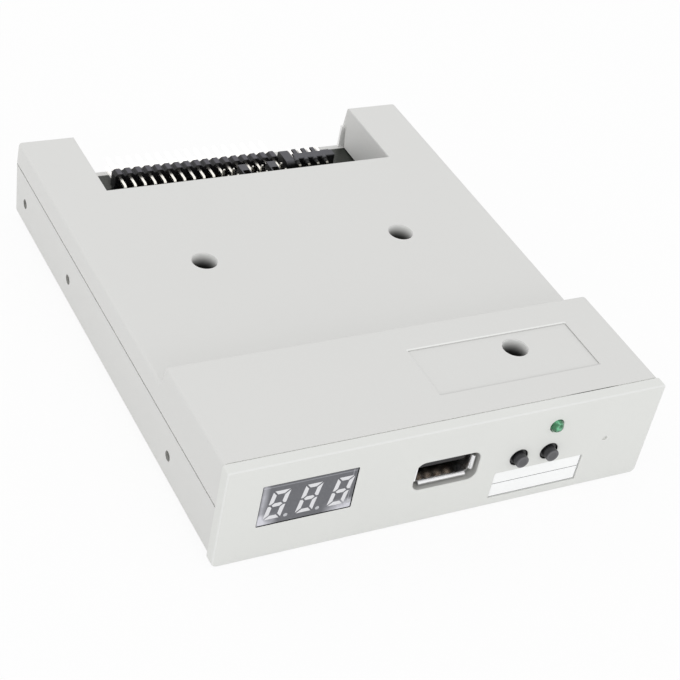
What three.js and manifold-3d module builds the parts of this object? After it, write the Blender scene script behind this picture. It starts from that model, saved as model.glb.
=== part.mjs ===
// Floppy drive emulator: a plastic box in the 3.5-inch drive form, with a USB socket, a three-digit
// display and two buttons in its bezel, and the drive's pin header and power plug in a bay at its rear.
// Millimetres. X runs to the right seen from the front, Y from the bezel to the rear, Z up.
// Every piece is drawn from the bezel's front face and its bottom edge. The finished group stands with
// the middle of its base at the origin.
import * as THREE from "three";
import { mergeVertices } from "three/addons/utils/BufferGeometryUtils.js";
import Module from "manifold-3d";

const wasm = await Module();
wasm.setup();

// Clearances and steps shared by all pieces
const seam = 0.3; // between two pieces that meet at a joint line or pass each other
const contact = 0.05; // between a piece and the face that it is soldered, screwed or pressed to
const overrun = 2; // how far a cutting solid runs past the face that it opens
const arcSteps = 2; // half the number of facets on a filleted corner
const fineSteps = 1;
const roundSides = 16; // facets of a turned piece
const boreSides = 12;
const wireSides = 6; // facets of a thin round pin
const squareSides = 4;

// Pin headers
const pitch = 2.54;
const pinWidth = 0.64;
const pinTaper = 0.5;
const pinBend = 0.5;
const tailLength = 1.4; // solder tail below the board
const drillClearance = 0.2;

// The drive form as a whole
const drive = { width: 101.6, height: 25.4, depth: 123.2 };

// Bezel: a moulded plate with a rim and two snap clips behind it
const bezel = {
  thickness: 3,
  frontRadius: 0.5,
  cornerRadius: 1.3,
  rimDepth: 2.5,
  rimThickness: 1,
  clipLength: 8.5,
  clipThickness: 1.3,
  clipHeight: 4,
  clipLevel: 6,
  clipGap: 0.5,
  barbLength: 1.8,
  barbReach: 1.2,
  dimpleX: 38.8,
  dimpleLevel: 12.9,
  dimpleRadius: 0.55,
  dimpleDepth: 0.4,
  sideStep: 0.2, // beyond the housing's sides
};

// Housing: bottom case and top cover
const housing = {
  halfWidth: drive.width / 2 - bezel.sideStep,
  wall: 2,
  seamLevel: 13.95,
  seamOpening: 0.4,
  cornerRadius: 1.5,
  tongueThickness: 0.9,
  tongueRise: 1.25,
};
const cover = {
  raisedLevel: drive.height - seam,
  deckDrop: 5.5,
  raisedRear: 32,
  raisedFoot: 33.5,
  edgeRadius: 0.8,
  footRadius: 0.6,
  sideDraft: 0.25,
  rearDraft: 0.3,
  ribThickness: 1.2,
  ribDrop: 2,
};
const recess = { left: 0.6, right: 40.2, front: 10.2, rear: 24.4, depth: 0.6 };
const tray = {
  underside: 0.7,
  edgeRadius: 1,
  sideTaper: 0.1,
  rearTaper: 0.5,
  lipLevel: 8.5,
  ribX: 9,
  ribFront: 15,
  ribThickness: 1.2,
  ribRise: 1.5,
};

// Bay for the cables, open at the rear and the top
const bay = {
  halfWidth: 37,
  length: 23.5,
  draft: 0.5,
  edgeRadius: 0.4,
  trayOutset: 1, // from the bay's sides out to the bottom case's walls
  skirtThickness: 0.6, // beyond the bay's sides at the deck
  hornX: 35.8, // two uprights on the rear wall's low lip, with a shoulder under the top cover
  hornWidth: 1.2,
  hornNeck: 0.65,
  hornTop: 14.6,
};

// Tapped holes in the sides and the underside
const sideHoles = {
  radius: 1.3,
  level: 7,
  depth: 5.5,
  first: 25.4,
  toMiddle: 60,
  toLast: 30,
  bossLength: 7,
  bossDepth: 4.5,
  bossTop: 10.5,
  underInset: 4.5,
  underDepth: 3.8,
};

// Case screws, run down wells in the cover, through the board, into posts of the bottom case
const screw = {
  headRadius: 2.5,
  headHeight: 1.9,
  headDome: 0.5,
  shankRadius: 1.3,
  tipLength: 0.9,
  tipRadius: 0.6,
  slotLength: 2.8,
  slotWidth: 0.7,
  slotDepth: 1,
  wellRadius: 2.85,
  wellWall: 1.3,
  wellFloor: 2,
  postRadius: 3.3,
  postFloor: 1.2,
};
const screwPlaces = {
  rear_left: { x: -25.4, y: 69.8 },
  rear_right: { x: 24.5, y: 70.1 },
  front: { x: 24.75, y: 19.95 },
};
const locator = { x: -24.2, y: 19, radius: 1.4, rise: 1, hole: 1.6 };

// Main board, which lies on the posts
const board = {
  thickness: 1.6,
  top: 9,
  front: 3.6,
  cornerRadius: 1,
  shoulderGap: 2.7, // from the shoulders to the bay's front wall
  tailGap: 0.5, // beside the tail, in the bay
  restInset: 3.5,
  restSetback: 5.5,
  restRadius: 2,
};

// Header for the ribbon cable
const diskHeader = {
  columns: 17,
  x: -7.9,
  chamfer: 0.5,
  pinSetback: 1.3, // from the pins' tips to the drive's rear
  pinReach: 6.36,
  upperLegReach: 3.6,
  lowerLegReach: 1.3,
};

// Header for the jumpers, and its caps
const jumperHeader = { columns: 7, x: 2.6, setback: 4.35, height: 2.54, pinTop: 8.5, chamfer: 0.4 };
const jumperCap = {
  width: 2.3,
  length: 5,
  height: 6,
  radius: 0.25,
  holeWidth: 1.24,
  mouthWidth: 1.6,
  mouthDepth: 0.5,
  leftColumn: 2,
  rightColumn: 5,
};

// Power connector
const power = {
  pins: 4,
  x: 22.5,
  setback: 10.6, // from its front wall to the drive's rear
  wallThickness: 2.4,
  length: 4.7,
  fingerLength: 4.8,
  floorLevel: 0.6,
  floorThickness: 1,
  wallTop: 3.95,
  archRadius: 0.95,
  archDepth: 0.9,
  pinLevel: 3.2,
  pinLength: 5.4,
  legReach: 2.1,
  fingerWidth: 1.1,
  fingerTop: 3.5,
  cheekInner: 4.45,
  cheekWidth: 2.4,
  cheekTop: 3.65,
  rightCheekTop: 3.4,
  cheekChamfer: 0.4,
};

// USB socket
const usb = {
  x: -0.45,
  level: 13.1,
  openingSide: 1, // between the shell and the bezel's opening, at each side
  openingAbove: 0.85,
  openingRadius: 2,
  mouth: 1,
  shellWidth: 13.1,
  shellHeight: 5.7,
  shellLength: 14,
  shellRadius: 0.6,
  metal: 0.35,
  flareLength: 0.8,
  flareReach: 0.4,
  tongueWidth: 11,
  tongueHeight: 1.9,
  tongueLift: 0.1, // its underside above the shell's middle
  tongueSetback: 1.5,
  blockDepth: 3.2,
  contacts: 4,
  contactPitch: 2.3,
  contactWidth: 1,
  contactThickness: 0.25,
  contactSetback: 0.8,
  contactBulge: 0.35,
  contactBulgeLength: 2.4,
  tailY: 15.6,
  legY: 8,
  legLength: 2,
  legTailLength: 1.2,
  springWidth: 2,
  springLength: 4.5,
  springSlot: 0.35,
  springX: 2.9,
  springY: 3,
};

// Display: a moulded shell with openings for the segments, filled with clear resin
const display = {
  x: -32.22,
  width: 20.5,
  height: 10.5,
  windowGap: 0.15,
  setback: 0.15,
  depth: 6.5,
  wall: 0.8,
  face: 0.9,
  faceStep: 0.05,
  digits: 3,
  digitPitch: 6.95,
  digitX: 0.35,
  digitLevel: -0.22,
  digitWidth: 3.9,
  digitHeight: 7.4,
  stroke: 1,
  mitreGap: 0.3,
  slantShare: 0.19,
  pointX: 2.35,
  pointLift: 0.3,
  pointRadius: 0.48,
  pinRadius: 0.25,
  pinLength: 2.2,
  pinRows: 2.54,
  pinsPerRow: 6,
};
const displayBoard = { thickness: 1.6, height: 11.4, gap: 0.4, lift: 0.3, radius: 0.5 };
const displayLink = { pins: 6, height: 2.54, depth: 2.54, gap: 1, level: 1.27, leg: 1.6 };

// Buttons
const button = {
  leftX: 17.05,
  rightX: 24.5,
  level: 12.68,
  stemRadius: 1.48,
  stemChamfer: 0.15,
  collarReach: 0.5,
  collarFront: 0.35, // behind the bezel's front face
  proud: 1.6,
  holeGap: 0.65,
  flangeReach: 0.47,
  flangeThickness: 0.6,
  travel: 0.25,
  bodySize: 6,
  bodyRadius: 0.4,
  bodyFront: 4,
  bodyDepth: 3.8,
  boreDepth: 1.9,
  plate: 0.3,
  plateGap: 0.27,
  legX: 2.25,
  legSize: 0.5,
  legSetback: 0.8,
  armWidth: 1,
};

// Status light
const led = {
  x: 24.5,
  level: 19.75,
  radius: 1.5,
  proud: 1.3,
  holeGap: 0.15,
  flangeReach: 0.3,
  flangeThickness: 0.9,
  legSize: 0.5,
  legSpacing: 2.54,
  legY: 9.8,
  domeSteps: 4,
};

// Printed label in its shallow pocket
const label = {
  left: 12.2,
  right: 33.9,
  bottom: 2.5,
  top: 9.2,
  thickness: 0.15,
  pocketGap: 0.15,
  pocketDepth: 0.35,
};

// Chips and small parts on the main board
const processor = {
  x: 2,
  y: 52,
  size: 7,
  height: 1.4,
  lift: 0.15,
  leads: 8,
  leadPitch: 0.8,
  leadWidth: 0.35,
  leadReach: 1,
  leadThickness: 0.15,
};
const driverChip = {
  x: -22,
  y: 42,
  length: 9.9,
  width: 3.9,
  height: 1.45,
  lift: 0.15,
  leads: 8,
  leadPitch: 1.27,
  leadWidth: 0.42,
  leadReach: 1.05,
  leadThickness: 0.2,
};
const regulator = {
  x: 20,
  y: 88,
  width: 6.5,
  depth: 3.5,
  height: 1.6,
  tabWidth: 3,
  leads: 3,
  leadWidth: 0.7,
  leadPitch: 2.3,
  leadReach: 1.7,
  leadThickness: 0.3,
};
const crystal = { x: 14, y: 52, length: 11.4, width: 4.7, height: 3.4, rim: 0.4, rimHeight: 0.5 };
const capacitor = {
  x: 31,
  spacing: 9,
  y: 88,
  radius: 2.5,
  height: 5.4,
  baseSize: 5.3,
  baseHeight: 0.9,
  chamfer: 1,
  groove: 0.2,
  grooveLevel: 1.6,
  grooveHeight: 0.5,
};

const finish = {
  casePlastic: new THREE.MeshStandardMaterial({ color: "#dddddb", roughness: 0.6, metalness: 0 }),
  bezelPlastic: new THREE.MeshStandardMaterial({ color: "#e1e2df", roughness: 0.55, metalness: 0 }),
  blackPlastic: new THREE.MeshStandardMaterial({ color: "#26262a", roughness: 0.5, metalness: 0 }),
  capPlastic: new THREE.MeshStandardMaterial({ color: "#3c3c42", roughness: 0.5, metalness: 0 }),
  boardMask: new THREE.MeshStandardMaterial({ color: "#1d2114", roughness: 0.4, metalness: 0 }),
  steel: new THREE.MeshStandardMaterial({ color: "#c9cacc", roughness: 0.25, metalness: 1 }),
  gold: new THREE.MeshStandardMaterial({ color: "#d9b45c", roughness: 0.25, metalness: 1 }),
  displayFace: new THREE.MeshStandardMaterial({ color: "#5a5a62", roughness: 0.45, metalness: 0 }),
  resin: new THREE.MeshStandardMaterial({ color: "#e3e3e6", roughness: 0.35, metalness: 0 }),
  greenLens: new THREE.MeshStandardMaterial({ color: "#4fae7c", roughness: 0.15, metalness: 0 }),
  paper: new THREE.MeshStandardMaterial({ color: "#f4f4f4", roughness: 0.5, metalness: 0 }),
  chip: new THREE.MeshStandardMaterial({ color: "#1b1b1d", roughness: 0.6, metalness: 0 }),
};

// Solids and booleans
function solidOf(shape) {
  if (!shape.isBufferGeometry) return shape;
  const bare = shape.clone();
  bare.deleteAttribute("normal");
  bare.deleteAttribute("uv");
  const merged = mergeVertices(bare);
  return new wasm.Manifold(
    new wasm.Mesh({
      numProp: 3,
      vertProperties: merged.attributes.position.array,
      triVerts: new Uint32Array(merged.index.array),
    }),
  );
}

function join(...shapes) {
  return shapes.map(solidOf).reduce((whole, next) => whole.add(next));
}

function cut(shape, ...tools) {
  return tools.map(solidOf).reduce((whole, tool) => whole.subtract(tool), solidOf(shape));
}

function common(...shapes) {
  return shapes.map(solidOf).reduce((whole, next) => whole.intersect(next));
}

function piece(name, shape, material) {
  const made = solidOf(shape).getMesh();
  const geometry = new THREE.BufferGeometry();
  geometry.setAttribute("position", new THREE.BufferAttribute(made.vertProperties, made.numProp));
  geometry.setIndex(new THREE.BufferAttribute(made.triVerts, 1));
  geometry.computeVertexNormals();
  const mesh = new THREE.Mesh(geometry, material);
  mesh.name = name;
  return mesh;
}

function placed(mesh, x, y, z) {
  mesh.position.set(x, y, z);
  return mesh;
}

// A closed outline through [a, b] corners. A third number is the fillet radius of that corner.
function outline(corners) {
  const shape = new THREE.Shape();
  corners.forEach(([a, b, radius = 0], i) => {
    const corner = new THREE.Vector2(a, b);
    const before = corners.at(i - 1);
    const after = corners[(i + 1) % corners.length];
    const back = new THREE.Vector2(before[0], before[1]).sub(corner).normalize();
    const onward = new THREE.Vector2(after[0], after[1]).sub(corner).normalize();
    const half = back.angleTo(onward) / 2;
    const start = corner.clone().addScaledVector(back, radius / Math.tan(half));
    if (i === 0) {
      shape.moveTo(start.x, start.y);
    } else {
      shape.lineTo(start.x, start.y);
    }
    if (radius > 0) {
      const end = corner.clone().addScaledVector(onward, radius / Math.tan(half));
      const middle = back.clone().add(onward).normalize();
      const centre = corner.clone().addScaledVector(middle, radius / Math.sin(half));
      const from = start.clone().sub(centre).angle();
      const to = end.sub(centre).angle();
      shape.absarc(centre.x, centre.y, radius, from, to, back.cross(onward) > 0);
    }
  });
  return shape;
}

function rectangle(left, right, low, high, radius = 0) {
  return outline([
    [left, low, radius],
    [right, low, radius],
    [right, high, radius],
    [left, high, radius],
  ]);
}

// Outlines swept straight along one axis
const axisX = new THREE.Vector3(1, 0, 0);
const axisY = new THREE.Vector3(0, 1, 0);
const axisZ = new THREE.Vector3(0, 0, 1);
const sideView = new THREE.Matrix4().makeBasis(axisY, axisZ, axisX);
const frontView = new THREE.Matrix4().makeBasis(axisX, axisZ, axisY.clone().negate());

function swept(shape, length, steps) {
  return new THREE.ExtrudeGeometry(shape, { depth: length, bevelEnabled: false, curveSegments: steps });
}

function alongX(shape, from, to, steps = arcSteps) {
  return swept(shape, to - from, steps).applyMatrix4(sideView).translate(from, 0, 0);
}

function alongY(shape, from, to, steps = arcSteps) {
  return swept(shape, to - from, steps).applyMatrix4(frontView).translate(0, to, 0);
}

function alongZ(shape, from, to, steps = arcSteps) {
  return swept(shape, to - from, steps).translate(0, 0, from);
}

function block([x0, x1], [y0, y1], [z0, z1]) {
  const size = new THREE.BoxGeometry(x1 - x0, y1 - y0, z1 - z0);
  return size.translate((x0 + x1) / 2, (y0 + y1) / 2, (z0 + z1) / 2);
}

// Turned solids: a profile of [radius, height] points, or a plain rod
function turned(profile, sides = roundSides) {
  const points = profile.map(([r, h]) => new THREE.Vector2(r, h));
  return new THREE.LatheGeometry(points, sides).rotateX(Math.PI / 2);
}

function rodZ(x, y, from, to, radius, sides = boreSides) {
  const rod = new THREE.CylinderGeometry(radius, radius, to - from, sides).rotateX(Math.PI / 2);
  return rod.translate(x, y, (from + to) / 2);
}

function rodY(x, z, from, to, radius, sides = boreSides) {
  const rod = new THREE.CylinderGeometry(radius, radius, to - from, sides);
  return rod.translate(x, (from + to) / 2, z);
}

function rodX(y, z, from, to, radius, sides = boreSides) {
  const rod = new THREE.CylinderGeometry(radius, radius, to - from, sides).rotateZ(Math.PI / 2);
  return rod.translate((from + to) / 2, y, z);
}

// Places along a row of count items around the middle
function row(count, spacing, middle = 0) {
  return Array.from({ length: count }, (_, i) => middle + (i - (count - 1) / 2) * spacing);
}

// Places and sizes that follow from the ones above
const sides = [-1, 1];
const frontFace = bezel.thickness + seam; // where the housing starts behind the bezel
const deckLevel = cover.raisedLevel - cover.deckDrop;
const bayFront = drive.depth - bay.length;
const bayInner = bay.halfWidth + bay.trayOutset; // half the bay's width between the bottom case's walls
const trayRim = housing.seamLevel - housing.seamOpening / 2;
const coverRim = housing.seamLevel + housing.seamOpening / 2;
const tongueTop = trayRim + housing.tongueRise;
const trayFloor = tray.underside + housing.wall;
const wellSeat = board.top + seam + screw.wellFloor;
const boreFloor = trayFloor + screw.postFloor;
const shankLength = wellSeat + contact - boreFloor - seam;
const boardUnder = board.top - board.thickness;
const boardRear = drive.depth - tray.rearTaper - housing.wall - seam;
const boardHalfWidth = housing.halfWidth - housing.wall - sideHoles.bossDepth - 2 * seam;
const boardTailHalf = bayInner - board.tailGap;
const headerPinEnd = drive.depth - diskHeader.pinSetback;
const headerRear = headerPinEnd - diskHeader.pinReach;
const headerFront = headerRear - pitch;
const jumperY = bayFront + jumperHeader.setback;
const powerFront = drive.depth - power.setback;
const powerLegY = powerFront - power.legReach;
const displayLevel = board.top + contact + display.height / 2;
const flangeRadius = button.stemRadius + button.flangeReach;
const sideHolePlaces = [
  sideHoles.first,
  sideHoles.first + sideHoles.toMiddle,
  sideHoles.first + sideHoles.toMiddle + sideHoles.toLast,
];

// A part's outside is what three views have in common: from the front, from the side and from above.
// The hollow is the same form, set in by the wall and run past its open faces.
function coverForm(inset = 0, past = 0) {
  const base = coverRim - past;
  const halfWidth = housing.halfWidth - inset;
  const front = frontFace - past;
  const rear = drive.depth - inset;
  const deckTop = deckLevel - inset;
  const raisedTop = cover.raisedLevel - inset;
  const edge = Math.max(cover.edgeRadius - inset, 0);
  const corner = Math.max(housing.cornerRadius - inset, 0);
  const lean = cover.sideDraft / (cover.raisedLevel - housing.seamLevel);
  const across = (top) => {
    const topHalf = halfWidth - lean * (top - base);
    return outline([
      [-halfWidth, base],
      [halfWidth, base],
      [topHalf, top, edge],
      [-topHalf, top, edge],
    ]);
  };
  const foot = cover.raisedFoot - inset;
  const fromFront = join(
    alongY(across(raisedTop), front, foot),
    alongY(across(deckTop), foot - inset - cover.edgeRadius, rear),
  );
  const fromSide = alongX(
    outline([
      [front, base],
      [rear, base],
      [rear - cover.rearDraft, deckTop, edge],
      [foot, deckTop, cover.footRadius],
      [cover.raisedRear - inset, raisedTop, edge],
      [front, raisedTop],
    ]),
    -halfWidth,
    halfWidth,
  );
  const fromAbove = alongZ(
    outline([
      [-halfWidth, front],
      [halfWidth, front],
      [halfWidth, rear, corner],
      [-halfWidth, rear, corner],
    ]),
    base,
    raisedTop,
  );
  return common(fromFront, fromSide, fromAbove);
}

// Hollow of the cover, kept clear of the walls beside the bay
function coverHollow(inset) {
  const inner = bay.halfWidth + housing.wall;
  const besideBay = block(
    [-inner, inner],
    [bayFront, drive.depth + overrun],
    [coverRim - 2 * overrun, cover.raisedLevel],
  );
  return cut(coverForm(inset, overrun), besideBay);
}

// The bay's cutting solid, flared at the deck so that the cover's edges come out rounded
function bayCutter() {
  const flare = 2 * bay.edgeRadius;
  const high = deckLevel + overrun;
  const low = board.top;
  const lowHalf = bay.halfWidth - bay.draft;
  const acrossShape = outline([
    [-lowHalf, low],
    [lowHalf, low],
    [bay.halfWidth, deckLevel, bay.edgeRadius],
    [bay.halfWidth + flare, deckLevel],
    [bay.halfWidth + flare, high],
    [-bay.halfWidth - flare, high],
    [-bay.halfWidth - flare, deckLevel],
    [-bay.halfWidth, deckLevel, bay.edgeRadius],
  ]);
  const alongShape = outline([
    [bayFront, low],
    [drive.depth + overrun, low],
    [drive.depth + overrun, high],
    [bayFront - flare, high],
    [bayFront - flare, deckLevel],
    [bayFront, deckLevel, bay.edgeRadius],
  ]);
  const reach = bay.halfWidth + flare;
  return common(
    alongY(acrossShape, bayFront - flare, drive.depth + overrun),
    alongX(alongShape, -reach, reach),
  );
}

function topCover() {
  const posts = Object.values(screwPlaces).map(({ x, y }) =>
    rodZ(x, y, board.top + seam, coverRoof(y), screw.wellRadius + screw.wellWall, roundSides),
  );
  const wells = Object.values(screwPlaces).flatMap(({ x, y }) => [
    rodZ(x, y, wellSeat, cover.raisedLevel + overrun, screw.wellRadius, roundSides),
    rodZ(x, y, board.top - overrun, wellSeat + contact, screw.shankRadius + seam),
  ]);
  const ribs = sides.map((side) => {
    const middle = side * (bay.halfWidth + housing.wall / 2);
    const half = cover.ribThickness / 2;
    const under = deckLevel - housing.wall;
    const levels = [under - cover.ribDrop, under];
    return block([middle - half, middle + half], [cover.raisedFoot, bayFront], levels);
  });
  const skirts = sides.map((side) => {
    const ends = [side * (bay.halfWidth - overrun), side * (bay.halfWidth + bay.skirtThickness)];
    const spanX = ends.sort((a, b) => a - b);
    return block(spanX, [bayFront, boardRear - seam], [board.top + seam, coverRim + housing.wall / 2]);
  });
  const rebate = common(
    coverHollow(housing.wall - housing.tongueThickness - seam),
    block(
      [-housing.halfWidth, housing.halfWidth],
      [0, drive.depth],
      [coverRim - overrun, tongueTop + seam],
    ),
  );
  const pocket = alongZ(
    rectangle(recess.left, recess.right, recess.front, recess.rear),
    cover.raisedLevel - recess.depth,
    cover.raisedLevel + overrun,
  );
  const shell = cut(coverForm(), coverHollow(housing.wall), rebate);
  return cut(join(shell, ...ribs, ...posts, ...skirts), bayCutter(), pocket, ...wells);
}

// Underside of the cover's roof at a distance y from the front, taken into its thickness
function coverRoof(y) {
  const top = y < cover.raisedRear ? cover.raisedLevel : deckLevel;
  return top - housing.wall / 2;
}

function trayForm(inset = 0, past = 0) {
  const top = trayRim + past;
  const halfWidth = housing.halfWidth - inset;
  const front = frontFace - past;
  const rear = drive.depth - inset;
  const low = tray.underside + inset;
  const edge = Math.max(tray.edgeRadius - inset, 0);
  const corner = Math.max(housing.cornerRadius - inset, 0);
  const fromFront = alongY(
    outline([
      [-halfWidth + tray.sideTaper, low, edge],
      [halfWidth - tray.sideTaper, low, edge],
      [halfWidth, top],
      [-halfWidth, top],
    ]),
    front,
    rear,
  );
  const fromSide = alongX(
    outline([
      [front, low],
      [rear - tray.rearTaper, low, edge],
      [rear, top],
      [front, top],
    ]),
    -halfWidth,
    halfWidth,
  );
  const fromAbove = alongZ(
    outline([
      [-halfWidth, front],
      [halfWidth, front],
      [halfWidth, rear, corner],
      [-halfWidth, rear, corner],
    ]),
    low,
    top,
  );
  return common(fromFront, fromSide, fromAbove);
}

function bottomCase() {
  const { wall } = housing;
  const floor = trayFloor;
  const hollow = trayForm(wall, overrun);
  const wallRear = drive.depth - tray.rearTaper;
  const bayWalls = sides.map((side) => {
    const ends = [side * bayInner, side * (bayInner + wall)].sort((a, b) => a - b);
    return block(ends, [bayFront, wallRear], [floor - wall / 2, trayRim]);
  });
  const horns = sides.map((side) => {
    const low = tray.lipLevel - wall / 2;
    const outer = bay.hornX + bay.hornWidth;
    const neck = bay.hornX + bay.hornNeck;
    const shoulder = coverRim - seam;
    return alongY(
      outline(
        [
          [bay.hornX, low],
          [outer, low],
          [outer, shoulder],
          [neck, shoulder],
          [neck, bay.hornTop],
          [bay.hornX, bay.hornTop],
        ].map(([x, z]) => [side * x, z]),
      ),
      drive.depth - wall,
      wallRear,
    );
  });
  const besideBay = bay.halfWidth + wall + seam;
  const tongue = cut(
    common(
      trayForm(wall - housing.tongueThickness, housing.tongueRise),
      block(
        [-housing.halfWidth, housing.halfWidth],
        [frontFace + bezel.rimDepth, drive.depth],
        [trayRim - overrun, tongueTop],
      ),
    ),
    hollow,
    block([-besideBay, besideBay], [bayFront, drive.depth], [trayRim, tongueTop + overrun]),
  );
  const lipCut = block(
    [-bayInner, bayInner],
    [drive.depth - 2 * wall, drive.depth + overrun],
    [tray.lipLevel, tongueTop + overrun],
  );
  const posts = Object.values(screwPlaces).map(({ x, y }) =>
    rodZ(x, y, floor - wall / 2, boardUnder - contact, screw.postRadius, roundSides),
  );
  const postBores = Object.values(screwPlaces).map(({ x, y }) =>
    rodZ(x, y, boreFloor, boardUnder + overrun, screw.shankRadius + contact),
  );
  const rests = sides.map((side) =>
    rodZ(
      side * (boardTailHalf - board.restInset),
      drive.depth - board.restSetback,
      floor - wall / 2,
      boardUnder - contact,
      board.restRadius,
    ),
  );
  const locatingPost = join(
    rodZ(locator.x, locator.y, floor - wall / 2, boardUnder - contact, screw.postRadius, roundSides),
    rodZ(locator.x, locator.y, floor, board.top + locator.rise, locator.radius),
  );
  const ribs = sides.map((side) => {
    const middle = side * tray.ribX;
    const half = tray.ribThickness / 2;
    return block(
      [middle - half, middle + half],
      [tray.ribFront, drive.depth - wall - seam],
      [floor - wall / 2, floor + tray.ribRise],
    );
  });
  const inner = housing.halfWidth - wall;
  const bosses = sides.flatMap((side) =>
    sideHolePlaces.map((y) => {
      const ends = [side * (inner - sideHoles.bossDepth), side * (inner + wall / 2)].sort((a, b) => a - b);
      const half = sideHoles.bossLength / 2;
      return block(ends, [y - half, y + half], [floor - wall / 2, sideHoles.bossTop]);
    }),
  );
  const drilled = sides.flatMap((side) =>
    sideHolePlaces.map((y) => {
      const ends = [side * (housing.halfWidth - sideHoles.depth), side * (housing.halfWidth + overrun)];
      ends.sort((a, b) => a - b);
      return rodX(y, sideHoles.level, ends[0], ends[1], sideHoles.radius);
    }),
  );
  const underHoles = sides.flatMap((side) =>
    sideHolePlaces.slice(0, 2).map((y) =>
      rodZ(
        side * (housing.halfWidth - sideHoles.underInset),
        y,
        tray.underside - overrun,
        tray.underside + sideHoles.underDepth,
        sideHoles.radius,
      ),
    ),
  );
  const clipPockets = sides.map((side) => {
    const start = frontFace + bezel.clipLength - bezel.barbLength - seam;
    const ends = [side * (inner - overrun), side * (inner + wall / 2)].sort((a, b) => a - b);
    return block(
      ends,
      [start, frontFace + bezel.clipLength + seam],
      [bezel.clipLevel - seam, bezel.clipLevel + bezel.clipHeight + seam],
    );
  });
  const shell = cut(trayForm(), hollow);
  const body = cut(
    join(shell, ...bayWalls, tongue, ...posts, ...rests, locatingPost, ...ribs, ...bosses),
    lipCut,
    ...postBores,
    ...drilled,
    ...underHoles,
    ...clipPockets,
  );
  return join(body, ...horns);
}

// Bezel
function frontBezel() {
  const round = bezel.frontRadius;
  const half = drive.width / 2;
  const corner = bezel.cornerRadius - round;
  const face = rectangle(-half + round, half - round, round, drive.height - round, corner);
  const rounded = new THREE.ExtrudeGeometry(face, {
    depth: bezel.thickness,
    bevelThickness: round,
    bevelSize: round,
    bevelSegments: 3,
    curveSegments: arcSteps,
  });
  rounded.applyMatrix4(frontView).translate(0, bezel.thickness + round, 0);
  const plate = common(
    rounded,
    block([-half, half], [0, bezel.thickness], [0, drive.height]),
  );
  const rimHalf = housing.halfWidth - housing.wall - cover.sideDraft - seam;
  const rimLow = trayFloor + seam;
  const rimHigh = cover.raisedLevel - housing.wall - seam;
  const rimEnd = bezel.thickness + bezel.rimDepth;
  const rim = cut(
    alongY(rectangle(-rimHalf, rimHalf, rimLow, rimHigh, bezel.cornerRadius), bezel.thickness / 2, rimEnd),
    alongY(
      rectangle(
        -rimHalf + bezel.rimThickness,
        rimHalf - bezel.rimThickness,
        rimLow + bezel.rimThickness,
        rimHigh - bezel.rimThickness,
      ),
      0,
      rimEnd + overrun,
    ),
  );
  const clipOut = housing.halfWidth - housing.wall - bezel.clipGap;
  const clipIn = clipOut - bezel.clipThickness;
  const clipEnd = frontFace + bezel.clipLength;
  const clips = sides.map((side) =>
    alongZ(
      outline(
        [
          [clipIn, bezel.thickness / 2],
          [clipOut, bezel.thickness / 2],
          [clipOut, clipEnd - bezel.barbLength],
          [clipOut + bezel.barbReach, clipEnd - bezel.barbLength],
          [clipOut, clipEnd],
          [clipIn, clipEnd],
        ].map(([x, y]) => [side * x, y]),
      ),
      bezel.clipLevel,
      bezel.clipLevel + bezel.clipHeight,
    ),
  );
  const windowHalfWidth = display.width / 2 + display.windowGap;
  const windowHalfHeight = display.height / 2 + display.windowGap;
  const displayWindow = alongY(
    rectangle(
      display.x - windowHalfWidth,
      display.x + windowHalfWidth,
      displayLevel - windowHalfHeight,
      displayLevel + windowHalfHeight,
    ),
    -overrun,
    bezel.thickness + overrun,
  );
  const usbOpening = alongY(
    rectangle(
      usb.x - usb.shellWidth / 2 - usb.openingSide,
      usb.x + usb.shellWidth / 2 + usb.openingSide,
      usb.level - usb.shellHeight / 2 - usb.openingAbove,
      usb.level + usb.shellHeight / 2 + usb.openingAbove,
      usb.openingRadius,
    ),
    -overrun,
    bezel.thickness + overrun,
  );
  const through = [-overrun, bezel.thickness + overrun];
  const buttonHoles = [button.leftX, button.rightX].map((x) =>
    rodY(x, button.level, ...through, button.stemRadius + button.holeGap, roundSides),
  );
  const ledHole = rodY(led.x, led.level, ...through, led.radius + led.holeGap, roundSides);
  const ledRelief = rodY(
    led.x,
    led.level,
    bezel.thickness,
    rimEnd + overrun,
    led.radius + led.flangeReach + seam,
    roundSides,
  );
  const labelPocket = alongY(
    rectangle(
      label.left - label.pocketGap,
      label.right + label.pocketGap,
      label.bottom - label.pocketGap,
      label.top + label.pocketGap,
    ),
    -overrun,
    label.pocketDepth,
  );
  const dimple = rodY(bezel.dimpleX, bezel.dimpleLevel, -overrun, bezel.dimpleDepth, bezel.dimpleRadius);
  return cut(
    join(plate, rim, ...clips),
    displayWindow,
    usbOpening,
    ...buttonHoles,
    ledHole,
    ledRelief,
    labelPocket,
    dimple,
  );
}

function buttonLabel() {
  const back = label.pocketDepth - contact;
  return alongY(rectangle(label.left, label.right, label.bottom, label.top), back - label.thickness, back);
}

// Case screw, drawn from its seat under the head
function caseScrew() {
  const body = turned([
    [0, -shankLength],
    [screw.tipRadius, -shankLength],
    [screw.shankRadius, -shankLength + screw.tipLength],
    [screw.shankRadius, 0],
    [screw.headRadius, 0],
    [screw.headRadius, screw.headHeight - screw.headDome],
    [screw.headRadius - screw.headDome, screw.headHeight],
    [0, screw.headHeight],
  ], boreSides);
  const half = screw.slotWidth / 2;
  const reach = screw.slotLength / 2;
  const depth = [screw.headHeight - screw.slotDepth, screw.headHeight + overrun];
  const slots = [
    block([-half, half], [-reach, reach], depth),
    block([-reach, reach], [-half, half], depth),
  ];
  return cut(body, ...slots);
}

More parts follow.
